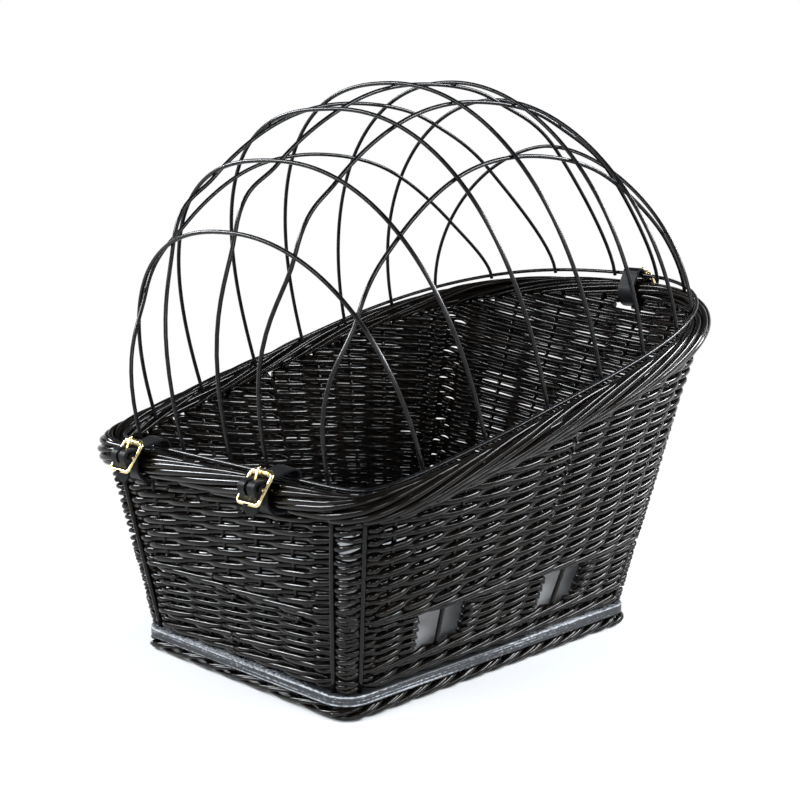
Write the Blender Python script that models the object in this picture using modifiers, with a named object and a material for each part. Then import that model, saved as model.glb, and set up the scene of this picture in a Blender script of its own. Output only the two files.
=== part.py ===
"""Wicker dog basket for the rear rack of a bicycle.

A plywood board stands on an open foot border and carries a flared willow wall
with two slots in each long side. A thick rolled border finishes the sloping
rim. A domed grid of steel wire lies inside the rim: two leather straps with
roller buckles hold it at the low end, and a third strap at the high end is the
loop that it swings up in.

Metres, +Z up. +X runs from the low end to the high end, +Y is the left side,
and the origin is on the ground under the middle of the rim.
"""

import math
from bisect import bisect_right

import bmesh
import bpy
from mathutils import Euler, Matrix, Vector
from mathutils.geometry import convex_hull_2d

MM = 0.001

# Clearance between neighbouring pieces
fit_gap = 0.3 * MM

# Board
board_length = 360 * MM
board_width = 265.5 * MM
board_thickness = 9 * MM
board_corner = 23 * MM
board_edge_round = 1.5 * MM

# Foot border under the board
foot_height = 11 * MM
foot_scallop = 2.4 * MM
foot_rope = 5.6 * MM
foot_width = 8 * MM
foot_top_width = 5 * MM
foot_flat = 7 * MM

# Rim, in plan: the centre line of the rolled border
rim_over_low_end = 16.5 * MM
rim_over_high_end = 126.5 * MM
rim_over_side = 63.25 * MM
rim_front_reach = 258 * MM
rim_front_taper = 20 * MM
rim_front_power = 11
rim_rear_power = 2.57
rim_front_height = 152 * MM
rim_slope = 0.240

# Rolled border on the rim
border_half_depth = 10.5 * MM
border_half_height = 11.5 * MM
border_twist_share = 0.06

# Wall
wall_inset = 7 * MM
wall_corner = 14 * MM
wall_thickness = 8 * MM
wall_relief = 2.4 * MM
course_height = 9.7 * MM
side_stake_pitch = 28 * MM
side_stake_shift = 3 * MM
end_stake_pitch = 37.25 * MM
corner_steps = 4
side_fan_share = 0.25
rim_post_spread = 14 * MM
front_post_shift = 22 * MM
post_radius = 4.4 * MM
post_side_gap = 0.8 * MM

# Bands of the wall above the board
lower_waling_height = 12 * MM
waling_thickness = 10 * MM
upper_waling_height = 9.5 * MM
slot_sill = 26.5 * MM
slot_head = 57 * MM
slot_stake_radius = 2.8 * MM
slot_low_stake_count = 2
slot_high_stake_count = 3

# Wire dome
wire_radius = 1.75 * MM
wire_tail = 3 * MM
ring_lift_front = 8 * MM
ring_lift_rear = 18 * MM
ring_inset_rear = 1 * MM
dome_rise = 250 * MM
hoop_place_shares = (0.100, 0.222, 0.361, 0.491, 0.609, 0.732, 0.832)
hoop_rise_shares = (0.714, 0.880, 0.978, 1.000, 0.934, 0.820, 0.579)
hoop_lean_shares = (-0.031, -0.048, -0.047, -0.031, 0.042, 0.021, 0.095)
hoop_fullness_shares = (2.24, 2.41, 2.46, 2.28, 2.09, 1.94, 1.77)
rail_mid_shares = (0.711, 0.390, -0.073, -0.425, -0.722)
rail_front_shares = (0.671, 0.339, 0.000, -0.245, -0.620)
rail_rear_shares = (0.670, 0.321, -0.077, -0.388, -0.648)
rail_front_pull_share = 1.90
rail_rear_pull_share = 0.62
hoop_steps = 12
rail_steps = 3

# Leather straps
strap_width = 20 * MM
strap_thickness = 2.2 * MM
strap_gap = 0.9 * MM
strap_hinge_play = 2.0 * MM
strap_tail = 13 * MM
left_strap_inset = 79 * MM
right_strap_inset = 106 * MM
rear_strap_y = -36 * MM
notch_play = 0.6 * MM
prong_slot_width = 3.6 * MM

# Brass buckles
buckle_rod_radius = 1.6 * MM
buckle_reach = 13 * MM
buckle_corner = 3 * MM
buckle_side_gap = 0.7 * MM
buckle_lift = 7.5 * MM
buckle_stand_off = 16.6 * MM
buckle_lean = math.radians(35)
roller_radius = 2.9 * MM
roller_length = 19 * MM
prong_radius = 1.2 * MM
prong_eye_radius = 3.2 * MM
prong_eye_width = 2.4 * MM
prong_overhang = 3 * MM

# Cushion
cushion_height = 60 * MM
cushion_edge_gap = 4 * MM
cushion_crown = 9 * MM
cushion_draw_in = 6 * MM
cushion_corner_share = 0.16

# Sizes that follow from the ones above
floor_z = foot_height + board_thickness
rim_length = rim_over_low_end + board_length + rim_over_high_end
rim_half_width = board_width / 2 + rim_over_side
rim_rear_reach = rim_length - rim_front_reach
rim_widest_x = rim_front_reach - rim_length / 2
rim_front_x = -rim_length / 2
board_x = rim_front_x + rim_over_low_end + board_length / 2
wall_half_length = board_length / 2 - wall_inset
wall_half_width = board_width / 2 - wall_inset
side_run = 2 * (wall_half_length - wall_corner)
end_run = wall_half_width - wall_corner
side_stake_count = round(side_run / side_stake_pitch)
half_end_stake_count = round(end_run / end_stake_pitch) - 1
slot_stake_numbers = (slot_low_stake_count, side_stake_count - 1 - slot_high_stake_count)
border_swell = 1 + border_twist_share
left_strap_y = rim_half_width - rim_front_taper - left_strap_inset
right_strap_y = right_strap_inset - (rim_half_width - rim_front_taper)
ring_inset = border_half_depth * border_swell + fit_gap + wire_radius
wire_pitch = 2 * wire_radius + fit_gap
ring_front_x = rim_front_x + ring_inset
ring_length = rim_length - ring_inset - ring_inset_rear
ring_slope = rim_slope + (ring_lift_rear - ring_lift_front) / ring_length
siding_drop = border_half_height * border_swell + fit_gap

outline_steps = 720
overrun = 20 * MM


def remove_everything():
    for item in list(bpy.data.objects):
        bpy.data.objects.remove(item)


def make_collection(name):
    group = bpy.data.collections.new(name)
    bpy.context.scene.collection.children.link(group)
    return group


remove_everything()
basket = make_collection("dog_bicycle_basket")
cutters = make_collection("cutters")


def make_material(name, colour, roughness, metallic=0.0):
    made = bpy.data.materials.new(name)
    made.use_nodes = True
    shader = made.node_tree.nodes["Principled BSDF"]
    shader.inputs["Base Color"].default_value = (*colour, 1.0)
    shader.inputs["Roughness"].default_value = roughness
    shader.inputs["Metallic"].default_value = metallic
    made.diffuse_color = (*colour, 1.0)
    return made


def willow(name):
    return make_material(name + "_willow", (0.020, 0.017, 0.015), 0.32)


def board_paint(name):
    return make_material(name + "_paint", (0.085, 0.095, 0.110), 0.62)


def black_steel(name):
    return make_material(name + "_steel", (0.016, 0.016, 0.018), 0.28, 0.5)


def leather(name):
    return make_material(name + "_leather", (0.030, 0.029, 0.029), 0.58)


def brass(name):
    return make_material(name + "_brass", (0.78, 0.56, 0.22), 0.30, 1.0)


def fabric(name):
    return make_material(name + "_fabric", (0.50, 0.51, 0.53), 0.92)


class Outline:
    """A closed curve, measured along itself from the middle of the low end towards +Y."""

    def __init__(self, points):
        self.points = points
        self.marks = [0.0]
        for here, there in zip(points, points[1:] + points[:1]):
            self.marks.append(self.marks[-1] + (there - here).length)
        self.length = self.marks[-1]

    def span(self, s):
        s %= self.length
        i = min(bisect_right(self.marks, s), len(self.points)) - 1
        share = (s - self.marks[i]) / (self.marks[i + 1] - self.marks[i])
        return self.points[i], self.points[(i + 1) % len(self.points)], share

    def at(self, s):
        here, there, share = self.span(s)
        return here.lerp(there, share)

    def normal(self, s):
        """Level direction pointing out of the curve, across the side that s lies on."""
        here, there, _ = self.span(s)
        run = there - here
        return Vector((-run.y, run.x, 0)).normalized()

    def find(self, axis, value, low, high):
        """Where the coordinate reaches value, between two places where it runs one way."""
        rising = self.at(high)[axis] > self.at(low)[axis]
        for _ in range(50):
            middle = (low + high) / 2
            if (self.at(middle)[axis] < value) == rising:
                low = middle
            else:
                high = middle
        return (low + high) / 2


def signed_power(value, power):
    return math.copysign(abs(value) ** power, value)


def rim_plan():
    """Nearly square at the low end, rounded at the high end, widest behind the middle."""
    points = []
    for i in range(outline_steps):
        turn = 2 * math.pi * i / outline_steps
        front = math.cos(turn) > 0
        power = 2 / (rim_front_power if front else rim_rear_power)
        reach = rim_front_reach if front else rim_rear_reach
        along = -signed_power(math.cos(turn), power)
        across = signed_power(math.sin(turn), power)
        half = rim_half_width - (rim_front_taper * along * along if front else 0)
        points.append(Vector((rim_widest_x + along * reach, across * half, 0)))
    return Outline(points)


def rectangle_plan(half_length, half_width, corner, centre_x, steps):
    """A rounded rectangle that starts in the middle of its low end."""
    points = [Vector((centre_x - half_length, 0, 0))]
    for quarter in range(4):
        side_x = -1 if quarter in (0, 3) else 1
        side_y = 1 if quarter in (0, 1) else -1
        centre = Vector((centre_x + side_x * (half_length - corner), side_y * (half_width - corner), 0))
        for i in range(steps + 1):
            turn = math.pi - math.pi / 2 * (quarter + i / steps)
            points.append(centre + corner * Vector((math.cos(turn), math.sin(turn), 0)))
    return points


rim = rim_plan()
base = Outline(rectangle_plan(wall_half_length, wall_half_width, wall_corner, board_x, 12))


def rim_height(x):
    return floor_z + rim_front_height + rim_slope * (x - rim_front_x)


def ring_height(x):
    return rim_height(x) + ring_lift_front + (ring_slope - rim_slope) * (x - ring_front_x)


def inset_at(x):
    """How far inside the border's centre line the ring wire runs."""
    share = (x - rim_front_x) / rim_length
    return ring_inset + (ring_inset_rear - ring_inset) * share


class Station:
    """One upright line of the wall: a place on the base and its place on the rim."""

    def __init__(self, base_s, rim_s, kind="stake"):
        self.base_s = base_s
        self.rim_s = rim_s
        self.kind = kind
        self.foot = base.at(base_s) + Vector((0, 0, floor_z))
        self.top = rim.at(rim_s)
        self.top.z = rim_height(self.top.x)
        small = rim.length / outline_steps
        out = rim.normal(rim_s - small) + rim.normal(rim_s + small)
        self.top_out = out.normalized()
        out = base.normal(base_s - small) + base.normal(base_s + small)
        self.foot_out = out.normalized()

    def moved(self, distance):
        """The same line, a distance further along the wall."""
        return Station(self.base_s + distance, self.rim_s + distance, self.kind)

    def share_at(self, z):
        return (z - self.foot.z) / (self.top.z - self.foot.z)

    def share_under_rim(self, drop):
        return 1 - drop / (rim_height(self.foot.x) - self.foot.z)

    def point(self, share, out=0.0):
        level = self.foot_out.lerp(self.top_out, share).normalized()
        return self.foot.lerp(self.top, share) + out * level


def wall_stations():
    """All the stakes and the paired corner posts, once round from the low end."""
    arc = math.pi / 2 * wall_corner
    quarter = outline_steps // 8
    front_corner = rim.marks[quarter] - front_post_shift
    rear_corner = rim.marks[3 * quarter]
    half_rim = rim.length / 2

    half = [(0.0, 0.0, "stake")]
    for i in range(1, half_end_stake_count + 1):
        share = i * end_stake_pitch / end_run
        half.append((share * end_run, share * (front_corner - rim_post_spread), "stake"))
    for i in range(corner_steps + 1):
        share = i / corner_steps
        kind = "post" if i in (0, corner_steps) else "corner"
        half.append((end_run + share * arc, front_corner + (2 * share - 1) * rim_post_spread, kind))
    for i in range(side_stake_count):
        place = (i - (side_stake_count - 1) / 2) * side_stake_pitch + side_stake_shift
        share = 0.5 + place / side_run
        fanned = share + side_fan_share * share * (share - 1)
        run = rear_corner - front_corner - 2 * rim_post_spread
        half.append((end_run + arc + share * side_run, front_corner + rim_post_spread + fanned * run, "stake"))
    for i in range(corner_steps + 1):
        share = i / corner_steps
        kind = "post" if i in (0, corner_steps) else "corner"
        base_s = end_run + arc + side_run + share * arc
        half.append((base_s, rear_corner + (2 * share - 1) * rim_post_spread, kind))
    rear_run = half_rim - rear_corner - rim_post_spread
    for i in range(half_end_stake_count, 0, -1):
        share = i * end_stake_pitch / end_run
        half.append((base.length / 2 - share * end_run, half_rim - share * rear_run, "stake"))
    whole = half + [(base.length / 2, half_rim, "stake")]
    whole += [(base.length - b, rim.length - r, kind) for b, r, kind in reversed(half[1:])]
    return [Station(*values) for values in whole]


def rim_stations():
    """The stations, with one more halfway along each long run of the rim."""
    whole = []
    for here, there in zip(stations, stations[1:] + stations[:1]):
        run = (there.rim_s - here.rim_s) % rim.length
        whole.append(here)
        if run > border_half_depth:
            whole.append(Station(here.base_s, here.rim_s + run / 2))
    return whole


stations = wall_stations()
post_numbers = [i for i, station in enumerate(stations) if station.kind == "post"]


def finish(piece, name, colour):
    """Name a piece, give it its material and put it in the basket's collection."""
    piece.name = name
    piece.data.name = name
    piece.data.materials.clear()
    piece.data.materials.append(colour(name))
    for group in list(piece.users_collection):
        group.objects.unlink(piece)
    basket.objects.link(piece)
    return piece


def smooth(piece, angle=40):
    piece.data.shade_smooth()
    piece.data.set_sharp_from_angle(angle=math.radians(angle))


def mesh_object(name, points, faces):
    mesh = bpy.data.meshes.new(name)
    mesh.from_pydata([tuple(p) for p in points], [], faces)
    body = bmesh.new()
    body.from_mesh(mesh)
    bmesh.ops.recalc_face_normals(body, faces=body.faces)
    body.to_mesh(mesh)
    body.free()
    piece = bpy.data.objects.new(name, mesh)
    bpy.context.scene.collection.objects.link(piece)
    return piece


def loft(name, sections, closed):
    """A skin over sections of equal point counts, round a ring or capped at both ends."""
    count = len(sections[0])
    points = [p for section in sections for p in section]
    faces = []
    for i in range(len(sections) if closed else len(sections) - 1):
        here = i * count
        there = (i + 1) % len(sections) * count
        for j in range(count):
            k = (j + 1) % count
            faces.append((here + j, there + j, there + k, here + k))
    if not closed:
        faces.append(tuple(range(count)))
        last = (len(sections) - 1) * count
        faces.append(tuple(last + j for j in reversed(range(count))))
    return mesh_object(name, points, faces)


def cut_with(piece, cutter, operation="DIFFERENCE"):
    """Apply a Boolean, so that the piece no longer needs its cutter's place."""
    for group in list(cutter.users_collection):
        group.objects.unlink(cutter)
    cutters.objects.link(cutter)
    cutter.hide_render = True
    cutter.display_type = "WIRE"
    cut = piece.modifiers.new(cutter.name, "BOOLEAN")
    cut.operation = operation
    cut.object = cutter
    cut.solver = "EXACT"


def tube(name, points, radius, sides, cyclic=False):
    """A wire along points, with filled ends."""
    curve = bpy.data.curves.new(name, "CURVE")
    curve.dimensions = "3D"
    curve.bevel_depth = radius
    curve.bevel_resolution = (sides - 4) // 2
    curve.use_fill_caps = not cyclic
    line = curve.splines.new("POLY")
    line.points.add(len(points) - 1)
    for knot, place in zip(line.points, points):
        knot.co = (*place, 1.0)
    line.use_cyclic_u = cyclic
    piece = bpy.data.objects.new(name, curve)
    bpy.context.scene.collection.objects.link(piece)
    return piece


def as_mesh(piece):
    """Turn a curve piece into a mesh whose caps are welded on."""
    depsgraph = bpy.context.evaluated_depsgraph_get()
    mesh = bpy.data.meshes.new_from_object(piece.evaluated_get(depsgraph))
    body = bmesh.new()
    body.from_mesh(mesh)
    bmesh.ops.remove_doubles(body, verts=body.verts, dist=fit_gap / 100)
    body.to_mesh(mesh)
    body.free()
    made = bpy.data.objects.new(piece.name + "_mesh", mesh)
    made.matrix_world = piece.matrix_world
    bpy.context.scene.collection.objects.link(made)
    bpy.data.objects.remove(piece)
    return made


def rod(name, radius, length, sides, axis):
    """A cylinder centred on its own origin, along Y or Z."""
    turn = (math.pi / 2, 0, 0) if axis == "Y" else (0, 0, 0)
    bpy.ops.mesh.primitive_cylinder_add(vertices=sides, radius=radius, depth=length, rotation=turn)
    piece = bpy.context.object
    piece.name = name
    piece.data.transform(Euler(turn).to_matrix().to_4x4())
    piece.rotation_euler = (0, 0, 0)
    return piece


def block(name, low, high):
    """A box between two corners."""
    bpy.ops.mesh.primitive_cube_add(size=1)
    piece = bpy.context.object
    piece.name = name
    for corner in piece.data.vertices:
        for axis in range(3):
            corner.co[axis] = low[axis] if corner.co[axis] < 0 else high[axis]
    return piece


# Board and foot

def make_board():
    half = (board_length / 2, board_width / 2)
    outline = rectangle_plan(*half, board_corner, 0, 5)[1:]
    sections = []
    for z, inset in ((0, board_edge_round), (board_edge_round, 0),
                     (board_thickness - board_edge_round, 0), (board_thickness, board_edge_round)):
        scale = Vector((1 - inset / half[0], 1 - inset / half[1], 0))
        sections.append([Vector((p.x * scale.x, p.y * scale.y, z)) for p in outline])
    piece = loft("baseboard", sections, closed=False)
    piece.location = (board_x, 0, foot_height)
    finish(piece, "baseboard", board_paint)
    smooth(piece)


def make_foot_border():
    """A scalloped rope that rises to the board at each stake and leaves arches between."""
    top = foot_height - fit_gap
    sections = []
    for i, station in enumerate(stations):
        following = stations[(i + 1) % len(stations)]
        run = (following.base_s - station.base_s) % base.length
        places = [(0.0, top, foot_scallop)]
        if run > 2 * foot_flat:
            edge = foot_flat / 2 / run
            places += [(0.5 - edge, foot_rope, 0), (0.5 + edge, foot_rope, 0)]
        for share, high, low in places:
            s = station.base_s + share * run
            here = base.at(s)
            out = (base.normal(s - foot_flat / 2) + base.normal(s + foot_flat / 2)).normalized()
            upper = foot_top_width / 2 if high == top else foot_width / 2
            corners = ((upper, high), (-upper, high), (-foot_width / 2, low), (foot_width / 2, low))
            sections.append([here + a * out + Vector((0, 0, b)) for a, b in corners])
    finish(loft("foot_border", sections, closed=True), "foot_border", willow)


# Wall

def twisted_band(name, low, high):
    """Rods twisted round one another: a ring whose edges swap from side to side."""
    half = waling_thickness / 2
    middle = (low + high) / 2
    sections = []
    for i, station in enumerate(stations):
        swing = wall_relief / 2 * (-1) ** i
        section = []
        for out, z in ((half - wall_relief / 2, low), (half + swing, (low + middle) / 2),
                       (half - swing, (middle + high) / 2), (half - wall_relief / 2, high),
                       (-half + wall_relief / 2, high), (-half + wall_relief / 2, low)):
            section.append(station.point(station.share_at(z), out))
        sections.append(section)
    finish(loft(name, sections, closed=True), name, willow)


def plain_band(name, low, high, line, closed):
    """Rods woven round the stakes, between two level heights."""
    sections = []
    for i, station in enumerate(line):
        shift = wall_relief / 2 * (-1) ** i
        half = wall_thickness / 2
        section = []
        for out, z in ((half, low), (half, high), (-half, high), (-half, low)):
            section.append(station.point(station.share_at(z), out + shift))
        sections.append(section)
    finish(loft(name, sections, closed), name, willow)


def woven_panel(name, line, low):
    """A woven sheet between two posts, level at the foot and parallel to the rim on top."""
    rows = []
    lengths = [station.share_under_rim(siding_drop) * (station.top - station.foot).length for station in line]
    count = max(3, round(max(lengths) / course_height))
    for j in range(count + 1):
        row = []
        for i, station in enumerate(line):
            start = station.share_at(low)
            end = station.share_under_rim(siding_drop)
            share = start + (end - start) * j / count
            shift = wall_relief * (-1) ** (i + j)
            pair = []
            for out in (wall_thickness / 2 + shift, -wall_thickness / 2 + shift):
                place = station.point(share, out)
                if j == count:
                    place.z = rim_height(place.x) - siding_drop
                pair.append(place)
            row.append(pair)
        rows.append(row)
    sections = []
    for row_places in zip(*rows):
        outer = [pair[0] for pair in row_places]
        inner = [pair[1] for pair in row_places]
        sections.append(outer + inner[::-1])
    return loft_panel(name, sections)


def loft_panel(name, sections):
    """Like a loft, with its end faces made of matching quads instead of one tall polygon."""
    count = len(sections[0])
    points = [p for section in sections for p in section]
    faces = []
    for i in range(len(sections) - 1):
        here = i * count
        there = here + count
        for j in range(count):
            k = (j + 1) % count
            faces.append((here + j, there + j, there + k, here + k))
    for start in (0, (len(sections) - 1) * count):
        for j in range(count // 2 - 1):
            faces.append((start + j, start + j + 1, start + count - 2 - j, start + count - 1 - j))
    return finish(mesh_object(name, points, faces), name, willow)


def make_post(name, station, low):
    """A round corner post from the upper waling to the underside of the border."""
    rings = []
    for top in (False, True):
        share = station.share_under_rim(siding_drop) if top else station.share_at(low)
        middle = station.point(share)
        ring = []
        for i in range(8):
            turn = 2 * math.pi * (i + 0.5) / 8
            place = middle + post_radius * Vector((math.cos(turn), math.sin(turn), 0))
            if top:
                place.z = rim_height(place.x) - siding_drop
            ring.append(place)
        rings.append(ring)
    piece = finish(loft(name, rings, closed=False), name, willow)
    smooth(piece, 60)


def make_slot_stake(name, station):
    rings = []
    for z in (slot_sill + floor_z + fit_gap, slot_head + floor_z - fit_gap):
        middle = station.point(station.share_at(z))
        ring = []
        for i in range(8):
            turn = 2 * math.pi * i / 8
            ring.append(middle + slot_stake_radius * Vector((math.cos(turn), math.sin(turn), 0)))
        rings.append(ring)
    piece = finish(loft(name, rings, closed=False), name, willow)
    smooth(piece, 60)


def make_wall():
    low = floor_z + fit_gap
    waling_top = floor_z + lower_waling_height
    sill = floor_z + slot_sill
    head = floor_z + slot_head
    siding_low = head + upper_waling_height + fit_gap
    twisted_band("waling_lower", low, waling_top)
    plain_band("siding_lower", waling_top + fit_gap, sill, stations, closed=True)
    twisted_band("waling_upper", head, head + upper_waling_height)

    make_slot_zone(sill + fit_gap, head - fit_gap)

    names = ("front_left_end", "front_left_side", "rear_left_side", "rear_left_end",
             "rear_right_end", "rear_right_side", "front_right_side", "front_right_end")
    for name, number in zip(names, post_numbers):
        make_post("post_" + name, stations[number], siding_low)

    panels = ("siding_corner_front_left", "siding_left", "siding_corner_rear_left", "siding_rear",
              "siding_corner_rear_right", "siding_right", "siding_corner_front_right", "siding_front")
    step = post_radius + post_side_gap
    made = {}
    for i, name in enumerate(panels):
        first = post_numbers[i]
        last = post_numbers[(i + 1) % len(post_numbers)]
        if last < first:
            inner = stations[first + 1:] + stations[:last]
        else:
            inner = stations[first + 1:last]
        line = [stations[first].moved(step)] + inner + [stations[last].moved(-step)]
        made[name] = woven_panel(name, line, siding_low)
    return made


def make_slot_zone(low, high):
    """The woven band between the slots, and the stake that stands free in each slot."""
    first_side = post_numbers[1] + 1
    left = [stations[first_side + n] for n in range(side_stake_count)]
    right = [stations[post_numbers[6] - 1 - n] for n in range(side_stake_count)]
    edge = slot_stake_radius
    blocks = {}
    for side, line, sign in (("left", left, 1), ("right", right, -1)):
        for slot, number in zip(("front", "rear"), slot_stake_numbers):
            make_slot_stake("slot_stake_" + side + "_" + slot, line[number])
        ends = [line[n + step].moved(-sign * step * edge) for n in slot_stake_numbers for step in (-1, 1)]
        blocks[side] = (line, ends)
    for side, (line, ends) in blocks.items():
        between = line[slot_stake_numbers[0] + 2:slot_stake_numbers[1] - 1]
        band = [ends[1]] + between + [ends[2]]
        plain_band("siding_slot_" + side, low, high, band, closed=False)
    left_line, left_ends = blocks["left"]
    right_line, right_ends = blocks["right"]
    first, last = slot_stake_numbers
    right_post = post_numbers[6]
    front = [right_ends[0]] + right_line[:first - 1][::-1] + stations[right_post:]
    front += stations[:post_numbers[1] + 1] + left_line[:first - 1] + [left_ends[0]]
    plain_band("siding_slot_front", low, high, front, closed=False)
    rear = [left_ends[3]] + left_line[last + 2:] + stations[post_numbers[2]:post_numbers[5] + 1]
    rear += right_line[last + 2:][::-1] + [right_ends[3]]
    plain_band("siding_slot_rear", low, high, rear, closed=False)


def make_rim_border():
    """Rods rolled round one another: an oval ring with a turning ridge."""
    sections = []
    for i, station in enumerate(rim_stations()):
        section = []
        for j in range(8):
            turn = 2 * math.pi * j / 8
            swell = 1 + border_twist_share * (-1) ** (i + j)
            out = border_half_depth * swell * math.cos(turn)
            up = border_half_height * swell * math.sin(turn)
            section.append(station.top + out * station.top_out + Vector((0, 0, up)))
        sections.append(section)
    finish(loft("rim_border", sections, closed=True), "rim_border", willow)


# Cushion

def make_cushion():
    """A stuffed pad with a crowned top and sides that draw in between its corners."""
    half_x = wall_half_length - waling_thickness / 2 - cushion_edge_gap
    half_y = wall_half_width - waling_thickness / 2 - cushion_edge_gap
    bpy.ops.mesh.primitive_cube_add(size=2)
    piece = bpy.context.object
    body = bmesh.new()
    body.from_mesh(piece.data)
    bmesh.ops.subdivide_edges(body, edges=body.edges, cuts=3, use_grid_fill=True)
    for corner in body.verts:
        x, y, z = corner.co
        pull_x = cushion_draw_in * (1 - y * y) * abs(x) ** 3
        pull_y = cushion_draw_in * (1 - x * x) * abs(y) ** 3
        waist = 1 - cushion_corner_share * abs(z) ** 3 * max(abs(x), abs(y)) ** 4 / 2
        bulge = (1 - x * x) * (1 - y * y)
        edge = cushion_height - cushion_crown
        corner.co.x = math.copysign(max(0, abs(x) * half_x - pull_x), x) * waist
        corner.co.y = math.copysign(max(0, abs(y) * half_y - pull_y), y) * waist
        corner.co.z = (z + 1) / 2 * edge + (cushion_crown * bulge if z > 0 else 0) * z
    body.to_mesh(piece.data)
    body.free()
    level = piece.modifiers.new("softening", "SUBSURF")
    level.levels = 1
    level.render_levels = 1
    piece.location = (board_x, 0, floor_z + fit_gap)
    finish(piece, "cushion", fabric)
    piece.data.shade_smooth()


# Wire dome

dome_tilt = math.atan(ring_slope)
dome_along = Vector((math.cos(dome_tilt), 0, math.sin(dome_tilt)))
dome_up = Vector((-math.sin(dome_tilt), 0, math.cos(dome_tilt)))


def ring_outline():
    points = []
    for station in rim_stations():
        place = station.top - inset_at(station.top.x) * station.top_out
        place.z = ring_height(place.x)
        points.append(place)
    return Outline(points)


ring = ring_outline()


def inside_ring(s):
    """The place beside the ring wire where a hoop's end is welded on."""
    return ring.at(s) - wire_pitch * ring.normal(s)


widest_hoop = max(point.y for point in ring.points) - wire_pitch


class Hoop:
    """One arch across the dome, leaning in the plane of its two ends."""

    def __init__(self, number):
        x = ring_front_x + hoop_place_shares[number] * ring_length
        s = ring.find(0, x, 0, ring.length / 2)
        self.end = inside_ring(s)
        self.half = self.end.y
        self.middle = Vector((self.end.x, 0, self.end.z))
        self.lean = hoop_lean_shares[number] * dome_rise
        self.rise = hoop_rise_shares[number] * dome_rise
        self.power = hoop_fullness_shares[number]

    def place(self, across, up):
        return (self.middle + Vector((0, across, 0)) + up * dome_up
                + up / self.rise * self.lean * dome_along)

    def at(self, y):
        up = self.rise * (1 - abs(y / self.half) ** self.power) ** (1 / self.power)
        return self.place(y, up)

    def path(self):
        turns = [math.pi * i / hoop_steps for i in range(hoop_steps + 1)]
        for share in rail_mid_shares:
            crossing = min(0.99, abs(share) * widest_hoop / self.half) ** (self.power / 2)
            turns.append(math.acos(math.copysign(crossing, share)))
        points = [self.place(self.half, -wire_tail)]
        for turn in sorted(turns):
            across = self.half * signed_power(math.cos(turn), 2 / self.power)
            up = self.rise * abs(math.sin(turn)) ** (2 / self.power)
            points.append(self.place(across, up))
        points.append(self.place(-self.half, -wire_tail))
        return points


def rail_path(number, hoops):
    """A long wire that crosses inside every hoop and is welded to the ring at both ends."""
    half = widest_hoop
    side_s = ring.length / 4
    front_y = rail_front_shares[number] * half
    rear_y = rail_rear_shares[number] * half
    front = inside_ring(ring.find(1, abs(front_y), 0, side_s))
    rear = inside_ring(ring.find(1, abs(rear_y), side_s, ring.length / 2))
    front.y = math.copysign(front.y, front_y)
    rear.y = math.copysign(rear.y, rear_y)
    crossings = [hoop.at(rail_mid_shares[number] * half) for hoop in hoops]
    lifted = []
    for i, hoop in enumerate(hoops):
        y = rail_mid_shares[number] * half
        small = wire_radius
        across = hoop.at(y + small) - hoop.at(y - small)
        before = crossings[i - 1] if i else front
        after = crossings[i + 1] if i + 1 < len(hoops) else rear
        out = (after - before).cross(across).normalized()
        lifted.append(crossings[i] - wire_pitch * out)
    knots = [front] + lifted + [rear]
    slopes = [rail_front_pull_share * (knots[1] - knots[0]).length * dome_up]
    slopes += [(knots[i + 1] - knots[i - 1]) / 2 for i in range(1, len(knots) - 1)]
    slopes.append(-rail_rear_pull_share * (knots[-1] - knots[-2]).length * dome_up)
    points = [front - wire_tail * dome_up, front]
    for i in range(len(knots) - 1):
        steps = 2 * rail_steps if i in (0, len(knots) - 2) else rail_steps
        for j in range(1, steps + 1):
            points.append(hermite(knots[i], knots[i + 1], slopes[i], slopes[i + 1], j / steps))
    points.append(rear - wire_tail * dome_up)
    return points


def hermite(start, end, leave, arrive, t):
    return ((2 * t ** 3 - 3 * t ** 2 + 1) * start + (t ** 3 - 2 * t ** 2 + t) * leave
            + (3 * t ** 2 - 2 * t ** 3) * end + (t ** 3 - t ** 2) * arrive)


def make_dome():
    """The ring, seven hoops and five long wires, hung from an empty on the hinge line."""
    hinge = bpy.data.objects.new("dome_hinge", None)
    hinge.location = wire_under_strap(*strap_seat(rear_strap_y, rear=True))
    basket.objects.link(hinge)
    hoops = [Hoop(i) for i in range(len(hoop_place_shares))]
    wires = {"dome_ring": (ring.points, True)}
    for i, hoop in enumerate(hoops):
        wires["dome_hoop_%d" % (i + 1)] = (hoop.path(), False)
    for i in range(len(rail_mid_shares)):
        wires["dome_rail_%d" % (i + 1)] = (rail_path(i, hoops), False)
    for name, (points, cyclic) in wires.items():
        local = [p - hinge.location for p in points]
        piece = finish(tube(name, local, wire_radius, 6, cyclic), name, black_steel)
        piece.parent = hinge


# Straps and buckles, drawn across the rim: x outward, y along the rim, z up, from the border's centre

around_bar = buckle_rod_radius + fit_gap + strap_thickness / 2
around_chape = around_bar + strap_thickness + fit_gap
around_roller = roller_radius + fit_gap + strap_thickness / 2
buckle_half_width = strap_width / 2 + buckle_side_gap + buckle_rod_radius


def arc(centre, radius, start, end):
    """Points on a circle between two angles, in steps of about twenty degrees."""
    steps = max(2, round(abs(end - start) / math.radians(20)))
    angles = [start + (end - start) * i / steps for i in range(steps + 1)]
    return [centre + radius * Vector((math.cos(a), math.sin(a))) for a in angles]


def tangent_angle(centre, radius, next_centre, next_radius):
    """Direction from each centre to where a tight belt leaves it; a radius is minus where it turns clockwise."""
    across = next_centre - centre
    return math.atan2(across.y, across.x) - math.acos((radius - next_radius) / across.length)


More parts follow.
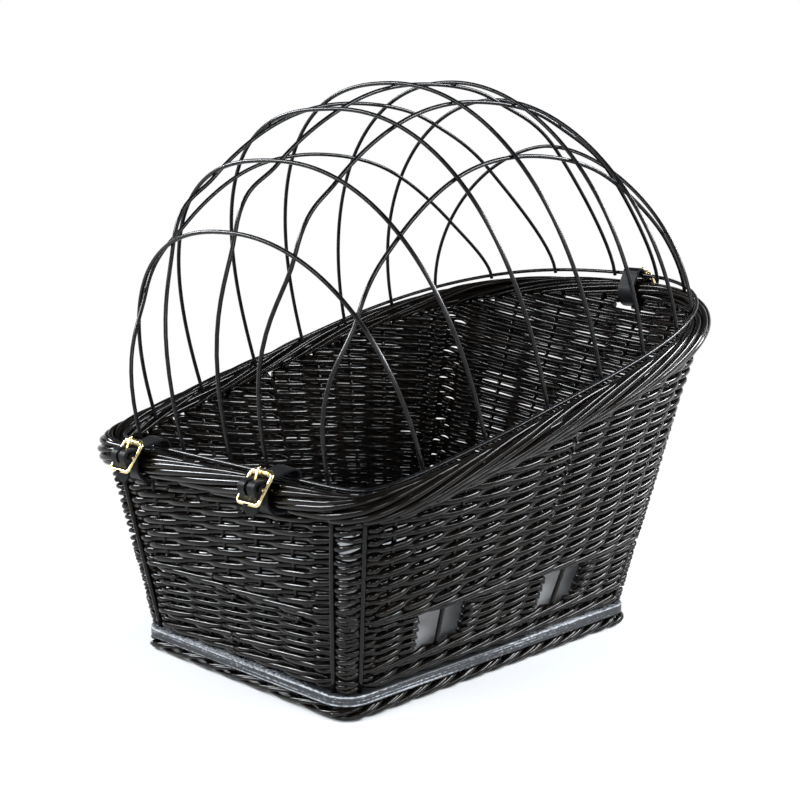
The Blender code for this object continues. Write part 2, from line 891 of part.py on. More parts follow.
def strap_line(wire_inset, wire_lift, wire_play):
    """Centre line of a strap, from the end folded over the centre bar to its free tip."""
    bar = Vector((buckle_stand_off, buckle_lift))
    up = buckle_reach * Vector((-math.sin(buckle_lean), math.cos(buckle_lean)))
    roller = bar + up
    lower = bar - up
    wire = Vector((-wire_inset, wire_lift))
    around_wire = wire_radius + wire_play + strap_thickness / 2
    reach = strap_gap + strap_thickness / 2
    cloud = []
    for i in range(36):
        turn = 2 * math.pi * i / 36
        cloud.append(Vector(((border_half_depth * border_swell + reach) * math.cos(turn),
                             (border_half_height * border_swell + reach) * math.sin(turn))))
    cloud += [wire + around_wire * Vector((math.cos(a), math.sin(a))) for a in (math.pi, math.pi * 1.1)]
    hull = [cloud[i] for i in convex_hull_2d(cloud)]
    area = sum(a.cross(b) for a, b in zip(hull, hull[1:] + hull[:1]))
    if area > 0:
        hull.reverse()
    first = max(range(len(hull)), key=lambda i: hull[i].x)
    hull = hull[first:] + hull[:first]
    beside_wire = wire - Vector((around_wire, 0))
    last = min(range(len(hull)), key=lambda i: (hull[i] - beside_wire).length)

    line = arc(bar, around_bar, -math.pi / 4, math.pi)
    line += hull[:last]
    cross = tangent_angle(wire, -around_wire, roller, around_roller)
    leave = tangent_angle(roller, around_roller, bar, -around_chape)
    bends_at_roller = leave > cross
    if not bends_at_roller:
        cross = tangent_angle(wire, -around_wire, bar, -around_chape)
        leave = cross
    line += arc(wire, around_wire, math.pi, cross + math.pi)
    if bends_at_roller:
        line += arc(roller, around_roller, cross, leave)
    depart = tangent_angle(bar, -around_chape, lower, around_bar)
    line += arc(bar, around_chape, leave + math.pi, depart + math.pi)
    line += arc(lower, around_bar, depart + 2 * math.pi, math.pi)
    line.append(line[-1] - Vector((0, strap_tail)))
    return line


def strap_seat(y, rear=False):
    """Where a strap crosses the border's centre line, and the direction out of the rim there."""
    quarter = rim.length / 4
    if rear:
        s = rim.find(1, y, 2 * quarter, 3 * quarter)
    elif y > 0:
        s = rim.find(1, y, 0, rim.marks[outline_steps // 8])
    else:
        s = rim.find(1, y, rim.marks[7 * outline_steps // 8], rim.length)
    seat = rim.at(s)
    seat.z = rim_height(seat.x)
    return seat, rim.normal(s)


def wire_under_strap(seat, out):
    """Centre of the ring wire in the strap's own upright plane."""
    place = seat - inset_at(seat.x) * out
    place.z = ring_height(place.x)
    return place


def buckle_place(seat, turn):
    """Middle of a buckle's centre bar."""
    return seat + Vector((buckle_stand_off * math.cos(turn), buckle_stand_off * math.sin(turn), buckle_lift))


def make_strap(name, seat, turn, wire_lift, wire_play):
    line = strap_line(inset_at(seat.x), wire_lift, wire_play)
    tip = line.pop()
    down = (tip - line[-1]).normalized()
    half = strap_width / 2
    widths = [half] * len(line)
    for share in (0, 0.5, 0.8, 1.0):
        line.append(tip - half * (1 - share) * down)
        widths.append(half * max(0.3, math.sqrt(1 - share * share)))
    sections = []
    for i, place in enumerate(line):
        before = line[max(0, i - 1)]
        after = line[min(len(line) - 1, i + 1)]
        ahead = (place - before).normalized() + (after - place).normalized()
        ahead.normalize()
        side = Vector((-ahead.y, ahead.x)) * strap_thickness / 2
        section = []
        for sign, y in ((1, widths[i]), (1, -widths[i]), (-1, -widths[i]), (-1, widths[i])):
            corner = place + sign * side
            section.append(Vector((corner.x, y, corner.y)))
        sections.append(section)
    piece = loft(name, sections, closed=False)
    piece.location = seat
    piece.rotation_euler = (0, 0, turn)
    eye = rod(name + "_eye_slot", around_bar + strap_thickness / 2 + fit_gap / 2, prong_slot_width, 24, "Y")
    hole_low = (-around_roller, -prong_slot_width / 2, buckle_rod_radius)
    hole_high = (overrun, prong_slot_width / 2, buckle_reach - roller_radius)
    hole = block(name + "_prong_hole", hole_low, hole_high)
    for cutter in (eye, hole):
        cutter.location = buckle_place(seat, turn)
        cutter.rotation_euler = (0, -buckle_lean, turn)
        cut_with(piece, cutter)
    finish(piece, name, leather)


def make_buckle(name, seat, turn):
    """Frame with a centre bar, a roller on the upper bar and a prong on the centre bar."""
    pivot = bpy.data.objects.new(name + "_pivot", None)
    pivot.location = buckle_place(seat, turn)
    pivot.rotation_euler = (0, -buckle_lean, turn)
    basket.objects.link(pivot)

    points = []
    for sign_y, sign_z, start in ((1, 1, 0), (-1, 1, 1), (-1, -1, 2), (1, -1, 3)):
        centre = Vector((sign_y * (buckle_half_width - buckle_corner), sign_z * (buckle_reach - buckle_corner)))
        quarter = arc(centre, buckle_corner, start * math.pi / 2, (start + 1) * math.pi / 2)
        points += [Vector((0, p.x, p.y)) for p in quarter[::2] + quarter[-1:]]
    frame = as_mesh(tube(name + "_frame", points, buckle_rod_radius, 8, cyclic=True))
    bar = rod(name + "_bar", buckle_rod_radius, 2 * buckle_half_width, 8, "Y")
    cut_with(frame, bar, "UNION")
    finish(frame, name + "_frame", brass)

    roller = rod(name + "_roller", roller_radius, roller_length, 12, "Y")
    bore = rod(name + "_roller_bore", buckle_rod_radius + fit_gap, roller_length + overrun, 12, "Y")
    cut_with(roller, bore)
    finish(roller, name + "_roller", brass)
    smooth(roller)

    over = roller_radius + 1.5 * fit_gap + prong_radius
    rise = over / buckle_reach / 2
    start = Vector((over / 2, 0, 0))
    shank = [start, start + (buckle_reach + prong_overhang) * Vector((rise, 0, 1))]
    prong = as_mesh(tube(name + "_prong", shank, prong_radius, 8))
    eye = rod(name + "_prong_eye", prong_eye_radius, prong_eye_width, 16, "Y")
    cut_with(prong, eye, "UNION")
    eye_bore = rod(name + "_prong_bore", buckle_rod_radius + fit_gap, overrun, 16, "Y")
    cut_with(prong, eye_bore)
    finish(prong, name + "_prong", brass)

    for piece in (frame, roller, prong, bar, bore, eye, eye_bore):
        piece.parent = pivot
    for piece in (roller, bore):
        piece.location = (0, 0, buckle_reach)


def make_fastenings(panels):
    """The three straps with their buckles, and the notches in the wall that the straps run through."""
    places = (("left", left_strap_y, "siding_front", strap_gap),
              ("right", right_strap_y, "siding_front", strap_gap),
              ("rear", rear_strap_y, "siding_rear", strap_hinge_play))
    for name, y, panel, play in places:
        seat, out = strap_seat(y, name == "rear")
        lift = wire_under_strap(seat, out).z - seat.z
        turn = math.atan2(out.y, out.x)
        make_strap("strap_" + name, seat, turn, lift, play)
        make_buckle("buckle_" + name, seat, turn)
        depth = border_half_height * border_swell + strap_gap + strap_thickness + notch_play
        low = (-overrun, -strap_width / 2 - notch_play, -depth)
        high = (overrun, strap_width / 2 + notch_play, 0)
        notch = block("notch_" + name, low, high)
        notch.location = seat
        notch.rotation_euler = (0, 0, turn)
        cut_with(panels[panel], notch)


make_board()
make_foot_border()
siding = make_wall()
make_rim_border()
make_cushion()
make_dome()
make_fastenings(siding)
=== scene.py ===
"""Looks of the wicker dog basket: woven rods, wire dome, leather straps and brass buckles.

Metres, in the frame of the CAD model. +X runs from the low end to the high end.
"""

import math
import random
from bisect import bisect_right

import bmesh
import bpy
from mathutils import Euler, Matrix, Vector
from mathutils.geometry import convex_hull_2d
from mathutils.kdtree import KDTree


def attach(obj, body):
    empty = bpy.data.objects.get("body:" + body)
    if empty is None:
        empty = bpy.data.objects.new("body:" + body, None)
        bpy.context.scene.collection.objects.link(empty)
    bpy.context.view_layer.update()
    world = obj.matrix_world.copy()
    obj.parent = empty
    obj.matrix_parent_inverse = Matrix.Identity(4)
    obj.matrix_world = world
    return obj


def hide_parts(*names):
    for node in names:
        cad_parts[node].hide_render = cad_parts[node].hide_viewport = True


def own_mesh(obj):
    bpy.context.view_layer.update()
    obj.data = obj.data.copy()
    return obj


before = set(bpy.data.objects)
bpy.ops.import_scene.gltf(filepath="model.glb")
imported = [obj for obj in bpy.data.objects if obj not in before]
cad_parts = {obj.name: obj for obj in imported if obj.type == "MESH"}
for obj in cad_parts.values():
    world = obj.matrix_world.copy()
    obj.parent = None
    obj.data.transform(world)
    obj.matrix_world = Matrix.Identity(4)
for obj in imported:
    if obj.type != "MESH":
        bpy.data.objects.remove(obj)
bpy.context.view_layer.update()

random.seed(7)

MM = 0.001

# Sizes repeated from the CAD source, with the soft edges and the play that only the looks have
fit_gap = 0.3 * MM
board_length = 360 * MM
board_width = 265.5 * MM
board_thickness = 9 * MM
board_corner = 23 * MM
board_soft_edge = 1.5 * MM
foot_height = 11 * MM
rim_length = 503 * MM
rim_front_reach = 258 * MM
rim_half_width = 196 * MM
rim_front_taper = 20 * MM
rim_front_power = 11
rim_rear_power = 2.57
rim_front_height = 152 * MM
rim_slope = 0.240
rim_over_board = 16.5 * MM
border_half_depth = 10.5 * MM
border_half_height = 11.5 * MM
border_twist_share = 0.06
wall_inset = 7 * MM
wall_corner = 14 * MM
side_stake_pitch = 28 * MM
side_stake_count = 11
side_stake_shift = 3 * MM
end_stake_pitch = 37.25 * MM
end_stake_count = 5
side_fan_share = 0.25
rim_post_spread = 14 * MM
front_post_shift = 22 * MM
post_radius = 4.4 * MM
waling_thickness = 10 * MM
upper_waling_height = 9.5 * MM
slot_sill = 26.5 * MM
slot_head = 57 * MM
slot_stake_numbers = (2, 7)
wire_radius = 1.75 * MM
wire_tail = 3 * MM
ring_lift_front = 8 * MM
ring_lift_rear = 18 * MM
ring_inset_rear = 1 * MM
dome_rise = 250 * MM
hoop_place_shares = (0.100, 0.222, 0.361, 0.491, 0.609, 0.732, 0.832)
hoop_rise_shares = (0.714, 0.880, 0.978, 1.000, 0.934, 0.820, 0.579)
hoop_lean_shares = (-0.031, -0.048, -0.047, -0.031, 0.042, 0.021, 0.095)
hoop_fullness_shares = (2.24, 2.41, 2.46, 2.28, 2.09, 1.94, 1.77)
rail_mid_shares = (0.711, 0.390, -0.073, -0.425, -0.722)
rail_front_shares = (0.671, 0.339, 0.000, -0.245, -0.620)
rail_rear_shares = (0.670, 0.321, -0.077, -0.388, -0.648)
rail_front_pull_share = 1.90
rail_rear_pull_share = 0.62
strap_width = 20 * MM
strap_thickness = 2.2 * MM
strap_gap = 0.9 * MM
strap_hinge_play = 2.0 * MM
strap_tail = 10 * MM
strap_bulge = 3.2 * MM
bulge_rise_share = 0.2
strap_slack = 4.5 * MM
prong_swing_room = 8 * MM
swing_cut_start = 2 * MM
cut_reach = 20 * MM
cut_overrun = 0.2 * MM
spare_hole_radius = 1.5 * MM
spare_hole_depth = 12 * MM
spare_hole_height = 9.5 * MM
strap_soft_edge = 0.5 * MM
left_strap_y = 97 * MM
right_strap_y = -70 * MM
rear_strap_y = -36 * MM
prong_slot_width = 3.6 * MM
buckle_rod_radius = 1.6 * MM
buckle_reach = 13 * MM
buckle_corner = 3 * MM
buckle_side_gap = 0.7 * MM
buckle_lift = 7.5 * MM
buckle_stand_off = 16.6 * MM
buckle_lean = math.radians(35)
roller_radius = 2.9 * MM
roller_length = 19 * MM
prong_radius = 1.2 * MM
prong_eye_radius = 3.2 * MM
prong_overhang = 3 * MM
prong_bow = 0.5 * MM
prong_taper_share = 0.35
roller_soft_edge = 0.4 * MM
roller_dent = 0.25 * MM
bar_inset = 0.2 * MM
cushion_height = 60 * MM
cushion_edge_gap = 4 * MM
cushion_crown = 9 * MM
cushion_draw_in = 6 * MM
cushion_swell = 6 * MM
cushion_voxel = 5 * MM
cushion_pressure = 4.0
cushion_bending = 0.3
cushion_frames = 20
cushion_wall_gap = 1.5 * MM
cushion_creases = (0.9 * MM, 0.7 * MM)
cushion_waist_share = 0.08
cushion_round_share = 0.045
piping_radius = 1.8 * MM
piping_level = 0.93
piping_steps = 220

# Sizes that follow from the ones above
floor_z = foot_height + board_thickness
rim_rear_reach = rim_length - rim_front_reach
rim_widest_x = rim_front_reach - rim_length / 2
rim_front_x = -rim_length / 2
board_x = rim_front_x + rim_over_board + board_length / 2
wall_half_length = board_length / 2 - wall_inset
wall_half_width = board_width / 2 - wall_inset
border_swell = 1 + border_twist_share
ring_inset = border_half_depth * border_swell + fit_gap + wire_radius
wire_pitch = 2 * wire_radius + fit_gap
ring_front_x = rim_front_x + ring_inset
ring_length = rim_length - ring_inset - ring_inset_rear
ring_slope = rim_slope + (ring_lift_rear - ring_lift_front) / ring_length
outline_steps = 720

# Sizes of the woven rods
rod_radius = 3.15 * MM
thin_rod_radius = 2.35 * MM
front_slim_share = 0.17
stake_radius = 2.0 * MM
half_row = 4.85 * MM
lower_rounds_height = 25 * MM
wide_rows_share = 1.15
corner_bulge = 2.6 * MM
post_show_radius = 2.3 * MM
wide_rows_end = -40 * MM
wide_rows_fade = 190 * MM
row_wave = 0.45 * MM
row_wave_turn = 0.6
swing_power = 0.55
front_hug_share = 0.5
rear_hug_share = 0.25
butt_share = 1.03
taper_share = 0.003
longest_rod = 60
tallest_band = 240 * MM
post_room = 0.45
low_squeeze_share = 0.32
rear_squeeze_share = 0.12
corner_lift = 0.9 * MM
corner_slant = 0.8 * MM
waling_rod_limit = 2.3 * MM
waling_rod_share = 0.27
waling_rod_extra = 0.4 * MM
waling_wave = 0.3 * MM
waling_foot_gap = 0.6 * MM
waling_overlap = 0.5 * MM
slot_levels = 8
loop_tail_step = 1.2 * MM
stake_lean = 0.8 * MM
stake_stop = 4 * MM
under_border = 5.5 * MM
strap_side_room = 6 * MM
under_strap = 1.5 * MM
samples = 8

# Sizes of the two borders and the cut ends
border_spread = 8.0
border_spread_stray = 0.7
border_rod_thin = 2.6 * MM
border_rod_thick = 3.0 * MM
border_rod_seat = 2.6 * MM
border_start = -72
border_turn = 285
border_turn_stray = 0.16
border_wave_share = 0.07
border_butt_share = 1.04
border_taper_share = 0.3
border_core_radius = 3.8 * MM
border_cores = ((0, 0), (-3.4 * MM, -3.0 * MM), (3.2 * MM, 2.8 * MM))
cut_end_radius = 2.2 * MM
cut_end_reach = 4.6 * MM
cut_end_rise = 0.6 * MM
cut_end_stray = 0.8 * MM
cut_end_low = 15
cut_end_high_front = 24
cut_end_high = 90
foot_rod_radius = 2.35 * MM
foot_slim_share = 0.70
foot_slim_run = 18 * MM
foot_reach = 2.5
foot_reach_stray = 0.15
foot_pair_shift = 0.2
foot_shift_stray = 0.04
foot_start = 95
foot_turn = 265
foot_middle_out = 1.5 * MM
foot_swing = 5.4 * MM
foot_floor_gap = 0.1 * MM


class Outline:
    """A closed curve, measured along itself from the middle of the low end towards +Y."""

    def __init__(self, points):
        self.points = points
        self.marks = [0.0]
        for here, there in zip(points, points[1:] + points[:1]):
            self.marks.append(self.marks[-1] + (there - here).length)
        self.length = self.marks[-1]

    def span(self, s):
        s %= self.length
        i = min(bisect_right(self.marks, s), len(self.points)) - 1
        share = (s - self.marks[i]) / (self.marks[i + 1] - self.marks[i])
        return self.points[i], self.points[(i + 1) % len(self.points)], share

    def at(self, s):
        here, there, share = self.span(s)
        return here.lerp(there, share)

    def normal(self, s):
        here, there, _ = self.span(s)
        run = there - here
        return Vector((-run.y, run.x, 0)).normalized()

    def find(self, axis, value, low, high):
        rising = self.at(high)[axis] > self.at(low)[axis]
        for _ in range(50):
            middle = (low + high) / 2
            if (self.at(middle)[axis] < value) == rising:
                low = middle
            else:
                high = middle
        return (low + high) / 2


def signed_power(value, power):
    return math.copysign(abs(value) ** power, value)


def rim_plan():
    points = []
    for i in range(outline_steps):
        turn = 2 * math.pi * i / outline_steps
        front = math.cos(turn) > 0
        power = 2 / (rim_front_power if front else rim_rear_power)
        reach = rim_front_reach if front else rim_rear_reach
        along = -signed_power(math.cos(turn), power)
        across = signed_power(math.sin(turn), power)
        half = rim_half_width - (rim_front_taper * along * along if front else 0)
        points.append(Vector((rim_widest_x + along * reach, across * half, 0)))
    return Outline(points)


def rectangle_plan(half_length, half_width, corner, centre_x, steps):
    """A rounded rectangle that starts in the middle of its low end."""
    points = [Vector((centre_x - half_length, 0, 0))]
    for quarter in range(4):
        side_x = -1 if quarter in (0, 3) else 1
        side_y = 1 if quarter in (0, 1) else -1
        centre = Vector((centre_x + side_x * (half_length - corner), side_y * (half_width - corner), 0))
        for i in range(steps + 1):
            turn = math.pi - math.pi / 2 * (quarter + i / steps)
            points.append(centre + corner * Vector((math.cos(turn), math.sin(turn), 0)))
    return points


rim = rim_plan()
base = Outline(rectangle_plan(wall_half_length, wall_half_width, wall_corner, board_x, 12))


def rim_height(x):
    return floor_z + rim_front_height + rim_slope * (x - rim_front_x)


def ring_height(x):
    return rim_height(x) + ring_lift_front + (ring_slope - rim_slope) * (x - ring_front_x)


def inset_at(x):
    share = (x - rim_front_x) / rim_length
    return ring_inset + (ring_inset_rear - ring_inset) * share


class Station:
    """One upright line of the wall: a place on the base and its place on the rim."""

    def __init__(self, base_s, rim_s, kind="stake"):
        self.base_s = base_s
        self.rim_s = rim_s
        self.kind = kind
        self.foot = base.at(base_s) + Vector((0, 0, floor_z))
        self.top = rim.at(rim_s)
        self.top.z = rim_height(self.top.x)
        small = rim.length / outline_steps
        self.top_out = (rim.normal(rim_s - small) + rim.normal(rim_s + small)).normalized()
        self.foot_out = (base.normal(base_s - small) + base.normal(base_s + small)).normalized()

    def share_at(self, z):
        return (z - self.foot.z) / (self.top.z - self.foot.z)

    def point(self, share, out=0.0):
        level = self.foot_out.lerp(self.top_out, share).normalized()
        return self.foot.lerp(self.top, share) + out * level


def wall_stakes():
    """All the stakes and the paired corner posts, once round from the low end."""
    end_run = wall_half_width - wall_corner
    arc_run = math.pi / 2 * wall_corner
    side_run = 2 * (wall_half_length - wall_corner)
    quarter = outline_steps // 8
    front_corner = rim.marks[quarter] - front_post_shift
    rear_corner = rim.marks[3 * quarter]
    half_rim = rim.length / 2

    half = [(0.0, 0.0, "stake")]
    for i in range(1, end_stake_count // 2 + 1):
        share = i * end_stake_pitch / end_run
        half.append((share * end_run, share * (front_corner - rim_post_spread), "stake"))
    for share in (0, 1):
        rim_s = front_corner + (2 * share - 1) * rim_post_spread
        half.append((end_run + share * arc_run, rim_s, "post"))
    for i in range(side_stake_count):
        place = (i - (side_stake_count - 1) / 2) * side_stake_pitch + side_stake_shift
        share = 0.5 + place / side_run
        fanned = share + side_fan_share * share * (share - 1)
        run = rear_corner - front_corner - 2 * rim_post_spread
        base_s = end_run + arc_run + share * side_run
        half.append((base_s, front_corner + rim_post_spread + fanned * run, "stake"))
    for share in (0, 1):
        base_s = end_run + arc_run + side_run + share * arc_run
        half.append((base_s, rear_corner + (2 * share - 1) * rim_post_spread, "post"))
    rear_run = half_rim - rear_corner - rim_post_spread
    for i in range(end_stake_count // 2, 0, -1):
        share = i * end_stake_pitch / end_run
        half.append((base.length / 2 - share * end_run, half_rim - share * rear_run, "stake"))
    whole = half + [(base.length / 2, half_rim, "stake")]
    whole += [(base.length - b, rim.length - r, kind) for b, r, kind in reversed(half[1:])]
    return [Station(*values) for values in whole]


stakes = wall_stakes()
stake_count = len(stakes)
posts = [i for i, stake in enumerate(stakes) if stake.kind == "post"]
first_left = posts[1] + 1
last_right = posts[6] - 1


def column_at(u):
    """The upright line at a stake's number, or between two of them."""
    i = math.floor(u)
    share = u - i
    here = stakes[i % stake_count]
    there = stakes[(i + 1) % stake_count]
    base_run = (there.base_s - here.base_s) % base.length
    rim_run = (there.rim_s - here.rim_s) % rim.length
    return Station(here.base_s + share * base_run, here.rim_s + share * rim_run)


columns = [column_at(k / samples) for k in range(stake_count * samples)]


def wall_point(k, z, out):
    column = columns[k % len(columns)]
    return column.point(column.share_at(z), out)


def girth(k):
    """Radius of what the rods bend round, at a sample of the wall."""
    i, share = divmod(k / samples, 1)
    here = stakes[int(i) % stake_count]
    there = stakes[(int(i) + 1) % stake_count]
    sizes = [post_radius * 0.8 if s.kind == "post" else stake_radius for s in (here, there)]
    return sizes[0] + (sizes[1] - sizes[0]) * share


# Meshes

def finish(piece, name, materials, body="basket", replaced=()):
    piece.name = name
    piece.data.name = name
    piece.data.materials.clear()
    for material in materials:
        piece.data.materials.append(material)
    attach(piece, body)
    if replaced:
        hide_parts(*replaced)
    return piece


def link_piece(name, mesh):
    piece = bpy.data.objects.new(name, mesh)
    bpy.context.scene.collection.objects.link(piece)
    return piece


def link_mesh(name, points, faces, smooth=True):
    mesh = bpy.data.meshes.new(name)
    mesh.from_pydata([tuple(p) for p in points], [], faces)
    mesh.polygons.foreach_set("use_smooth", [smooth] * len(mesh.polygons))
    return link_piece(name, mesh)


def link_body(name, body, matrix=None):
    mesh = bpy.data.meshes.new(name)
    body.to_mesh(mesh)
    body.free()
    if matrix is not None:
        mesh.transform(matrix)
    return link_piece(name, mesh)


def tubes(name, rods, sides=8):
    """Many round rods in one mesh. Each rod is its points, its radii, its tone and whether it closes."""
    points = []
    faces = []
    caps = []
    spots = []
    tones = []
    for line, radii, tone, closed in rods:
        count = len(line)
        first = len(points)
        along = 0.0
        normal = None
        for i, place in enumerate(line):
            before = line[i - 1] if i or closed else line[0]
            after = line[(i + 1) % count] if i + 1 < count or closed else line[-1]
            ahead = (after - before).normalized()
            if normal is None:
                normal = ahead.orthogonal()
            normal = (normal - normal.dot(ahead) * ahead).normalized()
            side = ahead.cross(normal)
            if i:
                along += (place - line[i - 1]).length
            radius = radii[i] if isinstance(radii, list) else radii
            for j in range(sides):
                turn = 2 * math.pi * j / sides
                points.append(place + radius * (math.cos(turn) * normal + math.sin(turn) * side))
                spots.append((turn * radius, along))
                tones.append(tone)
        for i in range(count if closed else count - 1):
            here = first + i * sides
            there = first + (i + 1) % count * sides
            for j in range(sides):
                k = (j + 1) % sides
                faces.append((here + j, here + k, there + k, there + j))
        if not closed:
            caps.append(len(faces))
            faces.append(tuple(first + j for j in reversed(range(sides))))
            caps.append(len(faces))
            last = first + (count - 1) * sides
            faces.append(tuple(last + j for j in range(sides)))
    piece = link_mesh(name, points, faces)
    for index in caps:
        piece.data.polygons[index].material_index = 1
        piece.data.polygons[index].use_smooth = False
    tone_data = piece.data.attributes.new("tone", "FLOAT", "POINT")
    tone_data.data.foreach_set("value", tones)
    grain = piece.data.uv_layers.new(name="grain")
    order = [0] * len(piece.data.loops)
    piece.data.loops.foreach_get("vertex_index", order)
    grain.data.foreach_set("uv", [value for index in order for value in spots[index]])
    return piece


def loft(name, sections, closed=False):
    count = len(sections[0])
    points = [p for section in sections for p in section]
    faces = []
    for i in range(len(sections) if closed else len(sections) - 1):
        here = i * count
        there = (i + 1) % len(sections) * count
        for j in range(count):
            k = (j + 1) % count
            faces.append((here + j, there + j, there + k, here + k))
    if not closed:
        faces.append(tuple(range(count)))
        last = (len(sections) - 1) * count
        faces.append(tuple(last + j for j in reversed(range(count))))
    piece = link_mesh(name, points, faces, smooth=False)
    body = bmesh.new()
    body.from_mesh(piece.data)
    bmesh.ops.recalc_face_normals(body, faces=body.faces)
    body.to_mesh(piece.data)
    body.free()
    return piece


def apply_all(piece):
    """Replace a piece's mesh by what its modifiers make of it."""
    depsgraph = bpy.context.evaluated_depsgraph_get()
    mesh = bpy.data.meshes.new_from_object(piece.evaluated_get(depsgraph))
    piece.modifiers.clear()
    piece.data = mesh
    return piece


def cut_away(piece, cutters):
    for cutter in cutters:
        cut = piece.modifiers.new("cut", "BOOLEAN")
        cut.operation = "DIFFERENCE"
        cut.object = cutter
        cut.solver = "EXACT"
    bpy.context.view_layer.update()
    apply_all(piece)
    for cutter in cutters:
        bpy.data.objects.remove(cutter)
    return piece


# Materials

def new_material(name, roughness, metallic=0.0):
    made = bpy.data.materials.new(name)
    made.use_nodes = True
    tree = made.node_tree
    shader = tree.nodes["Principled BSDF"]
    shader.inputs["Roughness"].default_value = roughness
    shader.inputs["Metallic"].default_value = metallic
    return made, tree, shader


def coordinates(tree, kind="Object", scale=(1, 1, 1)):
    source = tree.nodes.new("ShaderNodeTexCoord")
    mapping = tree.nodes.new("ShaderNodeMapping")
    mapping.inputs["Scale"].default_value = scale
    tree.links.new(source.outputs[kind], mapping.inputs["Vector"])
    return mapping.outputs["Vector"]


def noise_of(tree, vector, scale, detail=3.0, roughness=0.55):
    node = tree.nodes.new("ShaderNodeTexNoise")
    node.inputs["Scale"].default_value = scale
    node.inputs["Detail"].default_value = detail
    node.inputs["Roughness"].default_value = roughness
    tree.links.new(vector, node.inputs["Vector"])
    return node.outputs["Fac"]


def ramp_of(tree, value, stops):
    node = tree.nodes.new("ShaderNodeValToRGB")
    ramp = node.color_ramp
    while len(ramp.elements) < len(stops):
        ramp.elements.new(0.5)
    for element, (place, colour) in zip(ramp.elements, stops):
        element.position = place
        element.color = (*colour, 1.0)
    tree.links.new(value, node.inputs["Fac"])
    return node.outputs["Color"]


def maths(tree, operation, first, second):
    node = tree.nodes.new("ShaderNodeMath")
    node.operation = operation
    for socket, value in zip(node.inputs, (first, second)):
        if isinstance(value, (int, float)):
            socket.default_value = value
        else:
            tree.links.new(value, socket)
    return node.outputs["Value"]


def add_bump(tree, shader, height, strength, distance):
    node = tree.nodes.new("ShaderNodeBump")
    node.inputs["Strength"].default_value = strength
    node.inputs["Distance"].default_value = distance
    tree.links.new(height, node.inputs["Height"])
    tree.links.new(node.outputs["Normal"], shader.inputs["Normal"])


def vary_roughness(tree, shader, value, low, high):
    node = tree.nodes.new("ShaderNodeMapRange")
    node.inputs["To Min"].default_value = low
    node.inputs["To Max"].default_value = high
    tree.links.new(value, node.inputs["Value"])
    tree.links.new(node.outputs["Result"], shader.inputs["Roughness"])


def willow_material():
    """Near-black lacquer over willow, with long fibres, a tone for each rod and worn brown patches."""
    made, tree, shader = new_material("willow_lacquer", 0.28)
    fibres = noise_of(tree, coordinates(tree, "UV", (900, 45, 1)), 1.0, 4.0)
    patches = noise_of(tree, coordinates(tree), 38.0, 4.0)
    tone = tree.nodes.new("ShaderNodeAttribute")
    tone.attribute_name = "tone"
    mixed = maths(tree, "MULTIPLY", fibres, 0.4)
    mixed = maths(tree, "ADD", mixed, maths(tree, "MULTIPLY", patches, 0.45))
    mixed = maths(tree, "ADD", mixed, maths(tree, "MULTIPLY", tone.outputs["Fac"], 0.28))
    colour = ramp_of(tree, mixed, ((0.34, (0.0009, 0.0008, 0.0008)), (0.70, (0.0060, 0.0044, 0.0032))))
    tree.links.new(colour, shader.inputs["Base Color"])
    shader.inputs["Specular IOR Level"].default_value = 0.21
    vary_roughness(tree, shader, patches, 0.07, 0.20)
    add_bump(tree, shader, fibres, 0.14, 0.20 * MM)
    return made


def cut_end_material():
    """End grain of a cut willow rod under thin lacquer."""
    made, tree, shader = new_material("willow_cut_end", 0.6)
    grain = noise_of(tree, coordinates(tree), 1400.0, 3.0)
    tree.links.new(ramp_of(tree, grain, ((0.35, (0.06, 0.056, 0.05)), (0.7, (0.22, 0.205, 0.19)))),
                   shader.inputs["Base Color"])
    add_bump(tree, shader, grain, 0.4, 0.3 * MM)
    return made


def board_material():
    """Slate-grey stained plywood: plies show as long lines on the edge, flecks everywhere."""
    made, tree, shader = new_material("board_stain", 0.55)
    plies = noise_of(tree, coordinates(tree, "Object", (5, 5, 620)), 1.0, 2.0)
    flecks = noise_of(tree, coordinates(tree, "Object", (1, 1, 2.0)), 330.0, 4.0, 0.75)
    mixed = maths(tree, "ADD", maths(tree, "MULTIPLY", plies, 0.55),
                  maths(tree, "MULTIPLY", flecks, 0.45))
    colour = ramp_of(tree, mixed, ((0.43, (0.009, 0.010, 0.012)), (0.51, (0.034, 0.038, 0.045)),
                                   (0.58, (0.42, 0.44, 0.47))))
    tree.links.new(colour, shader.inputs["Base Color"])
    vary_roughness(tree, shader, flecks, 0.42, 0.68)
    add_bump(tree, shader, mixed, 0.4, 0.4 * MM)
    return made


def steel_material():
    """Gloss black coating on wire, with thin spots that shine."""
    made, tree, shader = new_material("gloss_black_wire", 0.2)
    thin = noise_of(tree, coordinates(tree), 190.0, 4.0)
    colour = ramp_of(tree, thin, ((0.40, (0.0025, 0.0025, 0.003)), (0.72, (0.012, 0.012, 0.0135))))
    tree.links.new(colour, shader.inputs["Base Color"])
    shader.inputs["Specular IOR Level"].default_value = 0.27
    vary_roughness(tree, shader, thin, 0.14, 0.32)
    add_bump(tree, shader, noise_of(tree, coordinates(tree), 900.0, 2.0), 0.03, 0.1 * MM)
    return made


